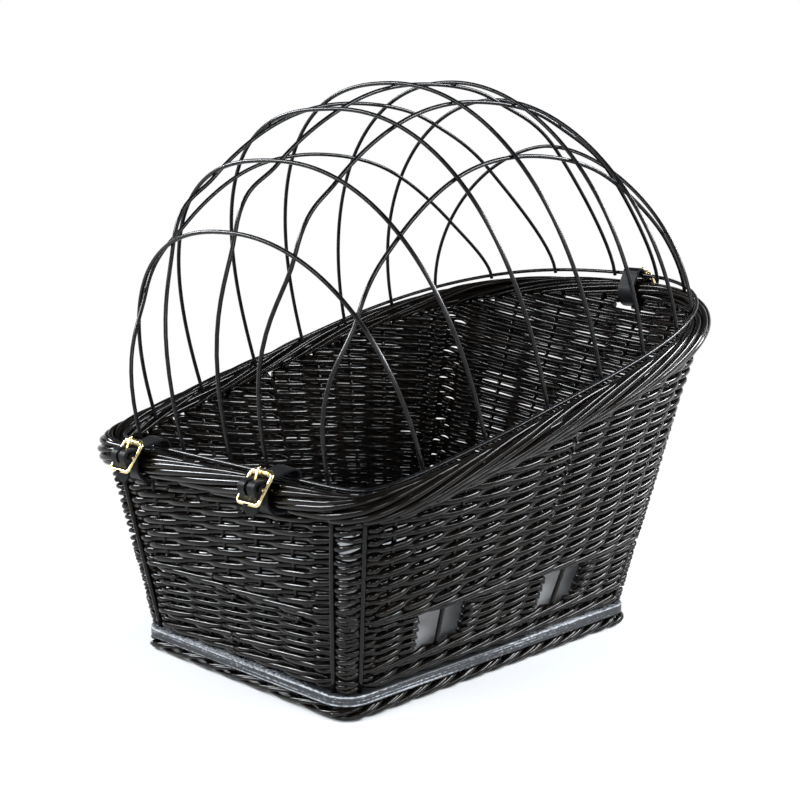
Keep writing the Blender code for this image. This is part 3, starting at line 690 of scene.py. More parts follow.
def leather_material():
    """Dull dark leather with a pebbled grain and lighter creases."""
    made, tree, shader = new_material("matt_leather", 0.55)
    cells = tree.nodes.new("ShaderNodeTexVoronoi")
    cells.inputs["Scale"].default_value = 1300.0
    tree.links.new(coordinates(tree), cells.inputs["Vector"])
    wear = noise_of(tree, coordinates(tree), 120.0, 4.0)
    colour = ramp_of(tree, wear, ((0.36, (0.0030, 0.0033, 0.0040)), (0.72, (0.013, 0.0135, 0.015))))
    tree.links.new(colour, shader.inputs["Base Color"])
    shader.inputs["Specular IOR Level"].default_value = 0.12
    vary_roughness(tree, shader, wear, 0.36, 0.55)
    add_bump(tree, shader, cells.outputs["Distance"], 0.35, 0.25 * MM)
    return made


def brass_material():
    """Polished pale brass with fine scratches and duller patches."""
    made, tree, shader = new_material("pale_brass", 0.25, 1.0)
    dull = noise_of(tree, coordinates(tree), 260.0, 4.0)
    scratches = noise_of(tree, coordinates(tree, "Object", (1, 9, 1)), 900.0, 3.0)
    tree.links.new(ramp_of(tree, dull, ((0.34, (0.72, 0.56, 0.25)), (0.62, (0.90, 0.76, 0.42)))),
                   shader.inputs["Base Color"])
    vary_roughness(tree, shader, dull, 0.16, 0.30)
    add_bump(tree, shader, scratches, 0.03, 0.08 * MM)
    return made


def fabric_material(name="pale_cloth", dark=(0.64, 0.655, 0.68), light=(0.78, 0.79, 0.81)):
    """Pale grey woven cloth."""
    made, tree, shader = new_material(name, 0.9)
    waves = []
    for axis in ("X", "Y"):
        wave = tree.nodes.new("ShaderNodeTexWave")
        wave.bands_direction = axis
        wave.inputs["Scale"].default_value = 260.0
        wave.inputs["Distortion"].default_value = 1.2
        tree.links.new(coordinates(tree), wave.inputs["Vector"])
        waves.append(wave.outputs["Fac"])
    weave = maths(tree, "MULTIPLY", waves[0], waves[1])
    soil = noise_of(tree, coordinates(tree), 24.0, 4.0)
    mixed = maths(tree, "ADD", maths(tree, "MULTIPLY", weave, 0.35), maths(tree, "MULTIPLY", soil, 0.65))
    tree.links.new(ramp_of(tree, mixed, ((0.25, dark), (0.65, light))),
                   shader.inputs["Base Color"])
    shader.inputs["Sheen Weight"].default_value = 0.25
    add_bump(tree, shader, weave, 0.5, 0.5 * MM)
    return made


willow = willow_material()
cut_end = cut_end_material()
board_stain = board_material()
wire_black = steel_material()
leather = leather_material()
brass = brass_material()
fabric = fabric_material()
cord_cloth = fabric_material("cord_cloth", (0.30, 0.31, 0.33), (0.46, 0.47, 0.49))


def wander(amount):
    return random.uniform(-amount, amount)


# Wall

def willow_rods(name, rods, replaced=(), sides=8):
    finish(tubes(name, rods, sides), name, (willow, cut_end), replaced=replaced)


strap_places = []


def top_limit(k):
    """Height at which a rod disappears under the border, or under a strap's loop."""
    column = columns[k % len(columns)]
    limit = column.top.z - border_half_height + under_border
    for seat, _ in strap_places:
        if (column.top - seat).length < strap_width / 2 + strap_side_room:
            limit = column.top.z - border_half_height - strap_thickness - under_strap
    return limit


def randing(start_z, rise, limit, thick, blocked=None, stretched=False):
    """One rod for each stake: in front of one, behind the next, half a row higher each time."""
    rods = []
    for start in range(stake_count):
        radius = thick * random.uniform(0.94, 1.05)
        tone = random.random()
        sway = random.uniform(0, 2 * math.pi)
        line = []
        radii = []
        for m in range(-samples // 2, stake_count * samples * 2):
            k = -start * samples - m
            level = m / samples
            stretch = stretch_at(k) if stretched else 1.0
            z = start_z + rise * stretch * level + row_wave * math.sin(row_wave_turn * level + sway)
            z += corner_stray(k, start)
            ended = z > limit(k)
            open_here = blocked is not None and blocked(k, z)
            if ended or open_here:
                if len(line) > samples // 2:
                    rods.append((line, radii, tone, False))
                line = []
                radii = []
                if level > longest_rod or (ended and z > start_z + tallest_band):
                    break
                continue
            swing = math.cos(math.pi * level)
            swing = math.copysign(abs(swing) ** swing_power, swing)
            hug = front_hug_share if swing > 0 else rear_hug_share
            out = behind_posts(k, (girth(k) + radius * hug) * swing, radius)
            line.append(wall_point(k, z, out))
            tapered = radius * (butt_share - taper_share * level)
            radii.append(slimmed(k, tapered * (1 - front_slim_share * swing)))
        if len(line) > samples // 2:
            rods.append((line, radii, tone, False))
    return rods


def corner_strip(k):
    """How far a sample lies between the paired posts of a corner, from 0 to 1, or None outside them."""
    u = (k / samples) % stake_count
    for first in posts[::2]:
        if first <= u <= first + 1:
            return u - first
    return None


def corner_stray(k, number):
    """Rods cross the strip between two posts each at its own slant."""
    share = corner_strip(k)
    if share is None:
        return 0.0
    return (corner_lift * math.sin(7.3 * number) * math.sin(math.pi * share)
            + corner_slant * math.sin(4.1 * number + 1) * math.sin(2 * math.pi * share))


def behind_posts(k, out, radius):
    """Rods run behind the paired posts of a corner, and bulge out between the two."""
    behind = -(post_radius * 0.5 + radius * 0.45)
    share = corner_strip(k)
    if share is not None:
        bulge = math.sin(math.pi * share)
        return behind * (1 - bulge) + corner_bulge * bulge
    u = (k / samples) % stake_count
    near = min(abs(u - post) for post in posts)
    weight = max(0.0, 1 - near / post_room)
    weight = weight * weight * (3 - 2 * weight)
    return out + (behind - out) * weight


def slimmed(k, radius):
    """Rods are squeezed thinner where they turn a corner."""
    share = corner_strip(k)
    if share is None:
        return radius
    squeeze = low_squeeze_share if columns[k % len(columns)].foot.x < 0 else rear_squeeze_share
    return radius * (1 - squeeze * math.sin(math.pi * share))


def stretch_at(k):
    """Rows lie wider apart on the low end and towards it."""
    column = columns[k % len(columns)]
    share = min(1.0, max(0.0, (wide_rows_end - column.foot.x) / wide_rows_fade))
    lean = (column.top.z - column.foot.z) / (column.top - column.foot).length
    if column.foot.x < wide_rows_end:
        lean = 1.0
    return lean ** 1.3 * (1 + (wide_rows_share - 1) * share * share * (3 - 2 * share))


def waling(low, height, rounds):
    """Three rods twisted round each other: each goes in front of two stakes and behind one."""
    rods = []
    pitch = height / rounds
    radius = min(waling_rod_limit, waling_rod_share * pitch + waling_rod_extra)
    for round_number in range(rounds):
        middle = low + pitch * (round_number + 0.5)
        lift = pitch - 2 * radius
        for r in range(3):
            line = []
            for m in range(stake_count * samples + 1):
                phase = (m / samples + r) % 3
                if phase < 1:
                    swing = -math.cos(math.pi * phase)
                elif phase < 2:
                    swing = 1.0
                else:
                    swing = math.cos(math.pi * (phase - 2))
                rise = (phase - 0.5) / 2 - 0.5 if 0.5 <= phase <= 2.5 else 0.5 - ((phase - 2.5) % 3)
                z = middle + lift * rise + waling_wave * math.sin(m * 0.21 + r)
                out = (girth(-m) + radius * 0.8) * swing
                line.append(wall_point(-m, z, behind_posts(-m, out, radius)))
            rods.append((line, radius * random.uniform(0.94, 1.04), random.random(), False))
    return rods


def stake_lines():
    """The upright stakes and posts, from the board to the middle of the border."""
    rods = []
    post_rods = []
    for stake in stakes:
        line = []
        lean = Vector((wander(stake_lean), wander(stake_lean), 0))
        for i in range(13):
            share = i / 12
            place = stake.point(share * (1 - stake_stop / (stake.top.z - stake.foot.z)))
            line.append(place + lean * math.sin(math.pi * share))
        is_post = stake.kind == "post"
        radius = post_show_radius if is_post else stake_radius
        (post_rods if is_post else rods).append((line, radius, random.random(), False))
    return rods, post_rods


def slot_zones():
    """Numbers of the stakes at the two edges of each slot."""
    zones = []
    for number in slot_stake_numbers:
        zones.append((first_left + number - 1, first_left + number + 1))
        zones.append((last_right - number - 1, last_right - number + 1))
    return zones


def in_slot(k, z):
    if z < floor_z + slot_sill:
        return False
    u = (k / samples) % stake_count
    return any(low + 1e-6 < u < high - 1e-6 for low, high in slot_zones())


def slot_loops(start_z, rise):
    """Rod ends bent round the stakes at the edges of the slots."""
    rods = []
    for low, high in slot_zones():
        for edge, inward in ((low, 1), (high, -1)):
            for level in range(1, slot_levels, 2):
                here = start_z + rise * level
                there = here - rise
                if here > floor_z + slot_head:
                    continue
                stake = stakes[edge]
                radius = thin_rod_radius * random.uniform(0.85, 0.95)
                reach = stake_radius + radius * 0.4
                line = []
                for i in range(-4, 13):
                    turn = math.pi * min(8, max(0, i)) / 8
                    z = here + (there - here) * min(8, max(0, i)) / 8
                    off = reach * math.sin(turn)
                    if i < 0:
                        off = loop_tail_step * i
                    if i > 8:
                        off = -loop_tail_step * (i - 8)
                    column = Station(stake.base_s + inward * off, stake.rim_s + inward * off)
                    line.append(column.point(column.share_at(z), reach * math.cos(turn)))
                rods.append((line, radius, random.random(), False))
    return rods


def make_wall():
    low = floor_z + lower_rounds_height
    head = floor_z + slot_head
    siding_low = head + upper_waling_height
    willow_rods("woven_waling_lower", waling(floor_z + waling_foot_gap, lower_rounds_height, 2),
                ("waling_lower", "siding_lower"))
    upper = waling(head - waling_overlap, upper_waling_height + 2 * waling_overlap, 1)
    willow_rods("woven_waling_upper", upper, ("waling_upper",))

    start = low + thin_rod_radius * 0.8
    rise = (head - thin_rod_radius - start) / slot_levels
    rods = randing(start, rise, lambda k: head - thin_rod_radius * 0.4, thin_rod_radius, in_slot)
    rods += slot_loops(start, rise)
    names = ["siding_slot_front", "siding_slot_rear", "siding_slot_left", "siding_slot_right"]
    willow_rods("woven_band_lower", rods, names)

    rods = randing(siding_low + rod_radius, half_row, top_limit, rod_radius, stretched=True)
    names = ["siding_" + side for side in ("front", "left", "right", "rear")]
    names += ["siding_corner_%s_%s" % (end, side)
              for end in ("front", "rear") for side in ("left", "right")]
    willow_rods("woven_band_main", rods, names)

    rods, post_rods = stake_lines()
    names = ["slot_stake_%s_%s" % (side, end) for side in ("left", "right") for end in ("front", "rear")]
    willow_rods("wall_stakes", rods, names)
    names = ["post_%s_%s_%s" % (end, side, face) for end in ("front", "rear")
             for side in ("left", "right") for face in ("end", "side")]
    willow_rods("corner_posts", post_rods, names, 10)


def make_rim_border():
    """A rod from every stake, laid slantwise over the rim from its outer foot to its inner side."""
    rods = []
    for start in range(stake_count):
        spread = border_spread + wander(border_spread_stray)
        radius = random.uniform(border_rod_thin, border_rod_thick)
        line = []
        radii = []
        steps = int(spread * samples)
        jitter = wander(border_turn_stray)
        for m in range(steps + 1):
            share = m / steps
            k = -start * samples - m
            column = columns[k % len(columns)]
            turn = math.radians(border_start + border_turn * share) + jitter * (1 - share)
            reach = 1.0 - border_wave_share * math.sin(math.pi * share * 3 + start)
            out = (border_half_depth - border_rod_seat) * reach * math.cos(turn)
            up = (border_half_height - border_rod_seat) * reach * math.sin(turn)
            line.append(column.top + out * column.top_out + Vector((0, 0, up)))
            radii.append(radius * (border_butt_share - border_taper_share * share ** 2))
        rods.append((line, radii, random.random(), False))
    for out, up in border_cores:
        line = [column.top + out * column.top_out + Vector((0, 0, up)) for column in columns[::2]]
        rods.append((line, border_core_radius, random.random(), True))
    willow_rods("rolled_border", rods, ("rim_border",), 10)


def make_cut_ends():
    """Short cut ends of rods that stick out of the weave, twice as many under the low end's border."""
    rods = []
    for i in range(stake_count):
        low_end = i <= end_stake_count // 2 or i >= stake_count - end_stake_count // 2
        for _ in range(2 if low_end else 1):
            k = i * samples + samples // 2 + random.choice((-1, 0, 1))
            drop = random.uniform(cut_end_low, cut_end_high_front if low_end else cut_end_high)
            z = columns[k % len(columns)].top.z - drop * MM
            start = wall_point(k, z, -1 * MM)
            end = wall_point(k - 1, z + cut_end_rise, cut_end_reach + wander(cut_end_stray))
            rods.append(([start, start.lerp(end, 0.5), end], cut_end_radius, random.random(), False))
    willow_rods("cut_rod_ends", rods)


def make_foot_border():
    """Pairs of rods that leave the board's edge, wind down and outward, and tuck in underneath."""
    rods = []
    middle = foot_height / 2 - foot_floor_gap
    for start in range(stake_count):
        for pair in range(2):
            reach = foot_reach + wander(foot_reach_stray)
            shift = foot_pair_shift * pair + wander(foot_shift_stray)
            steps = int(reach * samples)
            line = []
            radii = []
            for m in range(steps + 1):
                share = m / steps
                column = column_at(start + shift + m / samples)
                from_end = min(1.0, (column.foot.x - board_x + wall_half_length) / foot_slim_run)
                radius = foot_rod_radius * (foot_slim_share + (1 - foot_slim_share) * from_end)
                turn = math.radians(foot_start - foot_turn * share)
                out = foot_middle_out + foot_swing * math.cos(turn)
                z = middle + (middle - radius) * math.sin(turn)
                line.append(Vector((column.foot.x, column.foot.y, z)) + out * column.foot_out)
                radii.append(radius)
            rods.append((line, radii, random.random(), False))
    willow_rods("crossed_foot_border", rods, ("foot_border",))


def make_board():
    """The board with rounded corners and softened edges."""
    half = (board_length / 2, board_width / 2)
    outline = rectangle_plan(*half, board_corner, 0, 14)[1:]
    sections = []
    soft = board_soft_edge
    for i in range(7):
        turn = math.pi / 2 * i / 6
        sections.append((soft - soft * math.cos(turn), soft * (1 - math.sin(turn))))
    profile = sections + [(board_thickness - z, inset) for z, inset in reversed(sections)]
    rings = []
    for z, inset in profile:
        scale = (1 - inset / half[0], 1 - inset / half[1])
        rings.append([Vector((board_x + p.x * scale[0], p.y * scale[1], foot_height + z))
                      for p in outline])
    piece = loft("stained_board", rings)
    piece.data.shade_smooth()
    piece.data.set_sharp_from_angle(angle=math.radians(35))
    finish(piece, "stained_board", (board_stain,), replaced=("baseboard",))


# Cushion

def cushion_point(x, y, z):
    half_x = wall_half_length - waling_thickness / 2 - cushion_edge_gap
    half_y = wall_half_width - waling_thickness / 2 - cushion_edge_gap
    pull_x = cushion_draw_in * (1 - y * y) * abs(x) ** 3
    pull_y = cushion_draw_in * (1 - x * x) * abs(y) ** 3
    waist = 1 - cushion_waist_share * abs(z) ** 3 * max(abs(x), abs(y)) ** 4
    rise = (1 - x * x) * (1 - y * y)
    edge = cushion_height - cushion_crown
    px = math.copysign(max(0, abs(x) * half_x - pull_x), x) * waist
    py = math.copysign(max(0, abs(y) * half_y - pull_y), y) * waist
    pz = (z + 1) / 2 * edge + (cushion_crown * rise * z if z > 0 else 0)
    return Vector((board_x + px, py, floor_z + fit_gap + pz))


def edge_point(turn, z):
    """A point on the cushion's top or bottom edge, by its turn round the middle."""
    across = math.cos(turn), math.sin(turn)
    reach = max(abs(across[0]), abs(across[1]))
    x, y = (value / reach for value in across)
    return cushion_point(x * cushion_corner_share(turn), y * cushion_corner_share(turn), z)


def cushion_corner_share(turn):
    """Rounds the corners of the square that the edge follows."""
    return 1 - cushion_round_share * math.sin(2 * turn) ** 12


def swell(piece):
    """Blow the cushion up as cloth. No point may move further than the cap, or out of its place."""
    scene = bpy.context.scene
    even = piece.modifiers.new("even", "REMESH")
    even.mode = "VOXEL"
    even.voxel_size = cushion_voxel
    apply_all(piece)
    before = [corner.co.copy() for corner in piece.data.vertices]
    cloth = piece.modifiers.new("cloth", "CLOTH")
    cloth.settings.use_pressure = True
    cloth.settings.uniform_pressure_force = cushion_pressure
    cloth.settings.effector_weights.gravity = 0.0
    cloth.settings.bending_stiffness = cushion_bending
    cloth.point_cache.frame_start = 1
    cloth.point_cache.frame_end = cushion_frames
    for frame_number in range(1, cushion_frames + 1):
        scene.frame_set(frame_number)
    apply_all(piece)
    half_x = wall_half_length - waling_thickness / 2 - cushion_wall_gap
    half_y = wall_half_width - waling_thickness / 2 - cushion_wall_gap
    for corner, start in zip(piece.data.vertices, before):
        move = corner.co - start
        if move.length > cushion_swell:
            corner.co = start + move * (cushion_swell / move.length)
        corner.co.x = board_x + min(half_x, max(-half_x, corner.co.x - board_x))
        corner.co.y = min(half_y, max(-half_y, corner.co.y))
        corner.co.z = max(floor_z + fit_gap, corner.co.z)
    scene.frame_set(1)


def sewn_cords(piece):
    """A cord sewn round the top and the bottom edge, lying on the swollen cloth."""
    spots = KDTree(len(piece.data.vertices))
    for corner in piece.data.vertices:
        spots.insert(corner.co, corner.index)
    spots.balance()
    rods = []
    count = piping_steps
    for z in (piping_level, -piping_level):
        line = [spots.find(edge_point(2 * math.pi * i / count, z))[0] for i in range(count)]
        for _ in range(6):
            line = [(line[i - 1] + line[i] * 2 + line[(i + 1) % count]) / 4 for i in range(count)]
        if z < 0:
            for place in line:
                place.z = max(place.z, floor_z + fit_gap + piping_radius)
        rods.append((line, piping_radius, 0.5, True))
    cords = tubes("cushion_piping", rods, 10)
    finish(cords, "cushion_piping", (cord_cloth, cord_cloth))


def make_cushion():
    """A stuffed pad with a crowned top, drawn-in sides and a corded seam round its top and bottom."""
    body = bmesh.new()
    bmesh.ops.create_cube(body, size=2)
    bmesh.ops.subdivide_edges(body, edges=body.edges, cuts=23, use_grid_fill=True)
    for corner in body.verts:
        x, y, z = corner.co
        corner.co = cushion_point(x, y, z)
        crease = cushion_creases[0] * math.sin(corner.co.x * 110 + 2.4 * math.sin(corner.co.y * 47))
        crease += cushion_creases[1] * math.sin(corner.co.y * 90 + 1.9 * math.sin(corner.co.x * 38))
        corner.co.z += crease * (1 - x * x) * (1 - y * y) if z > 0.9 else 0
    piece = link_body("stuffed_cushion", body)
    swell(piece)
    level = piece.modifiers.new("soften", "SUBSURF")
    level.levels = 1
    level.render_levels = 1
    apply_all(piece)
    piece.data.shade_smooth()
    finish(piece, "stuffed_cushion", (fabric,), replaced=("cushion",))
    sewn_cords(piece)


# Wire dome

dome_tilt = math.atan(ring_slope)
dome_along = Vector((math.cos(dome_tilt), 0, math.sin(dome_tilt)))
dome_up = Vector((-math.sin(dome_tilt), 0, math.cos(dome_tilt)))


def ring_outline():
    points = []
    for column in columns[::2]:
        place = column.top - inset_at(column.top.x) * column.top_out
        place.z = ring_height(place.x)
        points.append(place)
    return Outline(points)


ring = ring_outline()


def inside_ring(s):
    return ring.at(s) - wire_pitch * ring.normal(s)


widest_hoop = max(point.y for point in ring.points) - wire_pitch


class Hoop:
    """One arch across the dome, leaning in the plane of its two ends."""

    def __init__(self, number):
        x = ring_front_x + hoop_place_shares[number] * ring_length
        self.end = inside_ring(ring.find(0, x, 0, ring.length / 2))
        self.half = self.end.y
        self.middle = Vector((self.end.x, 0, self.end.z))
        self.lean = hoop_lean_shares[number] * dome_rise
        self.rise = hoop_rise_shares[number] * dome_rise
        self.power = hoop_fullness_shares[number]

    def place(self, across, up):
        return (self.middle + Vector((0, across, 0)) + up * dome_up
                + up / self.rise * self.lean * dome_along)

    def at(self, y):
        up = self.rise * (1 - abs(y / self.half) ** self.power) ** (1 / self.power)
        return self.place(y, up)

    def path(self, steps=72):
        points = [self.place(self.half, -wire_tail)]
        for i in range(steps + 1):
            turn = math.pi * i / steps
            across = self.half * signed_power(math.cos(turn), 2 / self.power)
            up = self.rise * abs(math.sin(turn)) ** (2 / self.power)
            points.append(self.place(across, up))
        points.append(self.place(-self.half, -wire_tail))
        return points


def hermite(start, end, leave, arrive, t):
    return ((2 * t ** 3 - 3 * t ** 2 + 1) * start + (t ** 3 - 2 * t ** 2 + t) * leave
            + (3 * t ** 2 - 2 * t ** 3) * end + (t ** 3 - t ** 2) * arrive)


def rail_path(number, hoops, steps=12):
    half = widest_hoop
    side_s = ring.length / 4
    front_y = rail_front_shares[number] * half
    rear_y = rail_rear_shares[number] * half
    front = inside_ring(ring.find(1, abs(front_y), 0, side_s))
    rear = inside_ring(ring.find(1, abs(rear_y), side_s, ring.length / 2))
    front.y = math.copysign(front.y, front_y)
    rear.y = math.copysign(rear.y, rear_y)
    crossings = [hoop.at(rail_mid_shares[number] * half) for hoop in hoops]
    lifted = []
    for i, hoop in enumerate(hoops):
        y = rail_mid_shares[number] * half
        across = hoop.at(y + wire_radius) - hoop.at(y - wire_radius)
        before = crossings[i - 1] if i else front
        after = crossings[i + 1] if i + 1 < len(hoops) else rear
        out = (after - before).cross(across).normalized()
        lifted.append(crossings[i] - (wire_pitch - fit_gap) * out)
    knots = [front] + lifted + [rear]
    slopes = [rail_front_pull_share * (knots[1] - knots[0]).length * dome_up]
    slopes += [(knots[i + 1] - knots[i - 1]) / 2 for i in range(1, len(knots) - 1)]
    slopes.append(-rail_rear_pull_share * (knots[-1] - knots[-2]).length * dome_up)
    points = [front - wire_tail * dome_up, front]
    for i in range(len(knots) - 1):
        for j in range(1, steps + 1):
            points.append(hermite(knots[i], knots[i + 1], slopes[i], slopes[i + 1], j / steps))
    points.append(rear - wire_tail * dome_up)
    return points


def make_dome():
    hoops = [Hoop(i) for i in range(len(hoop_place_shares))]
    wires = [("dome_ring", ring.points, True)]
    wires += [("dome_hoop_%d" % (i + 1), hoop.path(), False) for i, hoop in enumerate(hoops)]
    wires += [("dome_rail_%d" % (i + 1), rail_path(i, hoops), False)
              for i in range(len(rail_mid_shares))]
    for node, points, closed in wires:
        name = node.replace("dome_", "wire_")
        piece = tubes(name, [(points, wire_radius, 0.5, closed)], 12)
        finish(piece, name, (wire_black, wire_black), "dome", (node,))


# Straps and buckles, drawn across the rim: x outward, y along the rim, z up, from the border's centre

around_bar = buckle_rod_radius + fit_gap + strap_thickness / 2
around_chape = around_bar + strap_thickness + fit_gap
around_roller = roller_radius + fit_gap + strap_thickness / 2
buckle_half_width = strap_width / 2 + buckle_side_gap + buckle_rod_radius


def arc(centre, radius, start, end, step=8):
    steps = max(2, round(abs(end - start) / math.radians(step)))
    angles = [start + (end - start) * i / steps for i in range(steps + 1)]
    return [centre + radius * Vector((math.cos(a), math.sin(a))) for a in angles]


def tangent_angle(centre, radius, next_centre, next_radius):
    across = next_centre - centre
    return math.atan2(across.y, across.x) - math.acos((radius - next_radius) / across.length)


def strap_line(wire_inset, wire_lift, wire_play):
    """Centre line of a strap, from the end folded over the centre bar to its free tip."""
    bar = Vector((buckle_stand_off, buckle_lift))
    up = buckle_reach * Vector((-math.sin(buckle_lean), math.cos(buckle_lean)))
    roller = bar + up
    lower = bar - up
    wire = Vector((-wire_inset, wire_lift))
    around_wire = wire_radius + wire_play + strap_thickness / 2
    reach = strap_gap + strap_thickness / 2
    cloud = []
    for i in range(72):
        turn = 2 * math.pi * i / 72
        cloud.append(Vector(((border_half_depth * border_swell + reach) * math.cos(turn),
                             (border_half_height * border_swell + reach) * math.sin(turn))))
    cloud += [wire + around_wire * Vector((math.cos(a), math.sin(a))) for a in (math.pi, math.pi * 1.1)]
    hull = [cloud[i] for i in convex_hull_2d(cloud)]
    area = sum(a.cross(b) for a, b in zip(hull, hull[1:] + hull[:1]))
    if area > 0:
        hull.reverse()
    first = max(range(len(hull)), key=lambda i: hull[i].x)
    hull = hull[first:] + hull[:first]
    beside_wire = wire - Vector((around_wire, 0))
    last = min(range(len(hull)), key=lambda i: (hull[i] - beside_wire).length)

    line = arc(bar, around_bar, -math.pi / 4, math.pi)
    line += hull[:last]
    cross = tangent_angle(wire, -around_wire, roller, around_roller)
    leave = tangent_angle(roller, around_roller, bar, -around_chape)
    bends_at_roller = leave > cross
    if not bends_at_roller:
        cross = tangent_angle(wire, -around_wire, bar, -around_chape)
        leave = cross
    line += arc(wire, around_wire, math.pi, cross + math.pi)
    if bends_at_roller:
        line += arc(roller, around_roller, cross, leave)
    upper = len(line)
    depart = tangent_angle(bar, -around_chape, lower, around_bar)
    line += arc(bar, around_chape, leave + math.pi, depart + math.pi)
    low_arc = arc(lower, around_bar, depart + 2 * math.pi, math.pi)
    slack = line[upper:]
    path = [line[upper - 1]] + slack + [low_arc[0]]
    marks = [0.0]
    for here, there in zip(path, path[1:]):
        marks.append(marks[-1] + (there - here).length)
    count = 16
    bulged = []
    for i in range(1, count):
        mark = marks[-1] * i / count
        j = min(bisect_right(marks, mark), len(path) - 1) - 1
        share = (mark - marks[j]) / max(1e-9, marks[j + 1] - marks[j])
        bulge = strap_bulge * math.sin(math.pi * i / count) ** 1.3
        bulged.append(path[j].lerp(path[j + 1], share) + Vector((bulge, bulge_rise_share * bulge)))
    line = line[:upper] + bulged + low_arc
    line.append(line[-1] - Vector((0, strap_tail)))
    return line


def strap_seat(y, rear=False):
    quarter = rim.length / 4
    if rear:
        s = rim.find(1, y, 2 * quarter, 3 * quarter)
    elif y > 0:
        s = rim.find(1, y, 0, rim.marks[outline_steps // 8])
    else:
        s = rim.find(1, y, rim.marks[7 * outline_steps // 8], rim.length)
    seat = rim.at(s)
    seat.z = rim_height(seat.x)
    return seat, rim.normal(s)


def wire_under_strap(seat, out):
    place = seat - inset_at(seat.x) * out
    place.z = ring_height(place.x)
    return place


def buckle_matrix(seat, turn):
    away = Vector((math.cos(turn), math.sin(turn), 0))
    spot = seat + buckle_stand_off * away + Vector((0, 0, buckle_lift))
    return Matrix.Translation(spot) @ Euler((0, -buckle_lean, turn)).to_matrix().to_4x4()


def cylinder(name, radius, length, sides, matrix, turn=(0, 0, 0)):
    body = bmesh.new()
    bmesh.ops.create_cone(body, cap_ends=True, segments=sides, radius1=radius, radius2=radius,
                          depth=length)
    return link_body(name, body, matrix @ Euler(turn).to_matrix().to_4x4())


def box_between(name, low, high, matrix):
    body = bmesh.new()
    bmesh.ops.create_cube(body, size=1)
    for corner in body.verts:
        for axis in range(3):
            corner.co[axis] = low[axis] if corner.co[axis] < 0 else high[axis]
    return link_body(name, body, matrix)


def make_strap(side, seat, turn, lift, play):
    """A leather strip with rounded edges, an opening for the prong, and a spare hole in its tail."""
    line = strap_line(inset_at(seat.x), lift, play)
    tip = line.pop()
    down = (tip - line[-1]).normalized()
    half = strap_width / 2
    widths = [half] * len(line)
    for i in range(9):
        share = math.sin(math.pi / 2 * i / 8)
        line.append(tip - half * (1 - share) * down)
        widths.append(half * max(0.2, math.sqrt(1 - share * share)))
    spread = Matrix.Translation(seat) @ Matrix.Rotation(turn, 4, "Z")
    sections = []
    soft = strap_soft_edge
    thick = strap_thickness / 2
    for i, place in enumerate(line):
        before = line[max(0, i - 1)]
        after = line[min(len(line) - 1, i + 1)]
        ahead = ((place - before).normalized() + (after - place).normalized()).normalized()
        side_way = Vector((-ahead.y, ahead.x))
        w = widths[i]
        edge = thick - soft
        section = []
        for across, level in ((w, edge), (w - soft, thick), (soft - w, thick), (-w, edge),
                              (-w, -edge), (soft - w, -thick), (w - soft, -thick), (w, -edge)):
            corner = place + level * side_way
            section.append(spread @ Vector((corner.x, across, corner.y)))
        sections.append(section)
    name = "leather_strap_" + side
    piece = loft(name, sections)
    matrix = buckle_matrix(seat, turn)
    slot_half = prong_slot_width / 2
    eye = cylinder("eye_cut", around_bar + strap_thickness / 2 + fit_gap / 2, prong_slot_width, 40,
                   matrix, (math.pi / 2, 0, 0))
    hole = box_between("hole_cut", (-around_roller, -slot_half, buckle_rod_radius),
                       (cut_reach, slot_half, buckle_reach - roller_radius), matrix)
    spare_place = spread @ Matrix.Translation((tip.x, 0, tip.y + spare_hole_height))
    spare = cylinder("spare_hole", spare_hole_radius, spare_hole_depth, 24, spare_place,
                     (0, math.pi / 2, 0))
    swing = box_between("swing_cut", (swing_cut_start, -slot_half, -prong_swing_room),
                        (cut_reach, slot_half, buckle_rod_radius + cut_overrun), matrix)
    cut_away(piece, (eye, hole, swing, spare))
    piece.data.shade_smooth()
    piece.data.set_sharp_from_angle(angle=math.radians(32))
    finish(piece, name, (leather,), replaced=("strap_" + side,))
    return piece


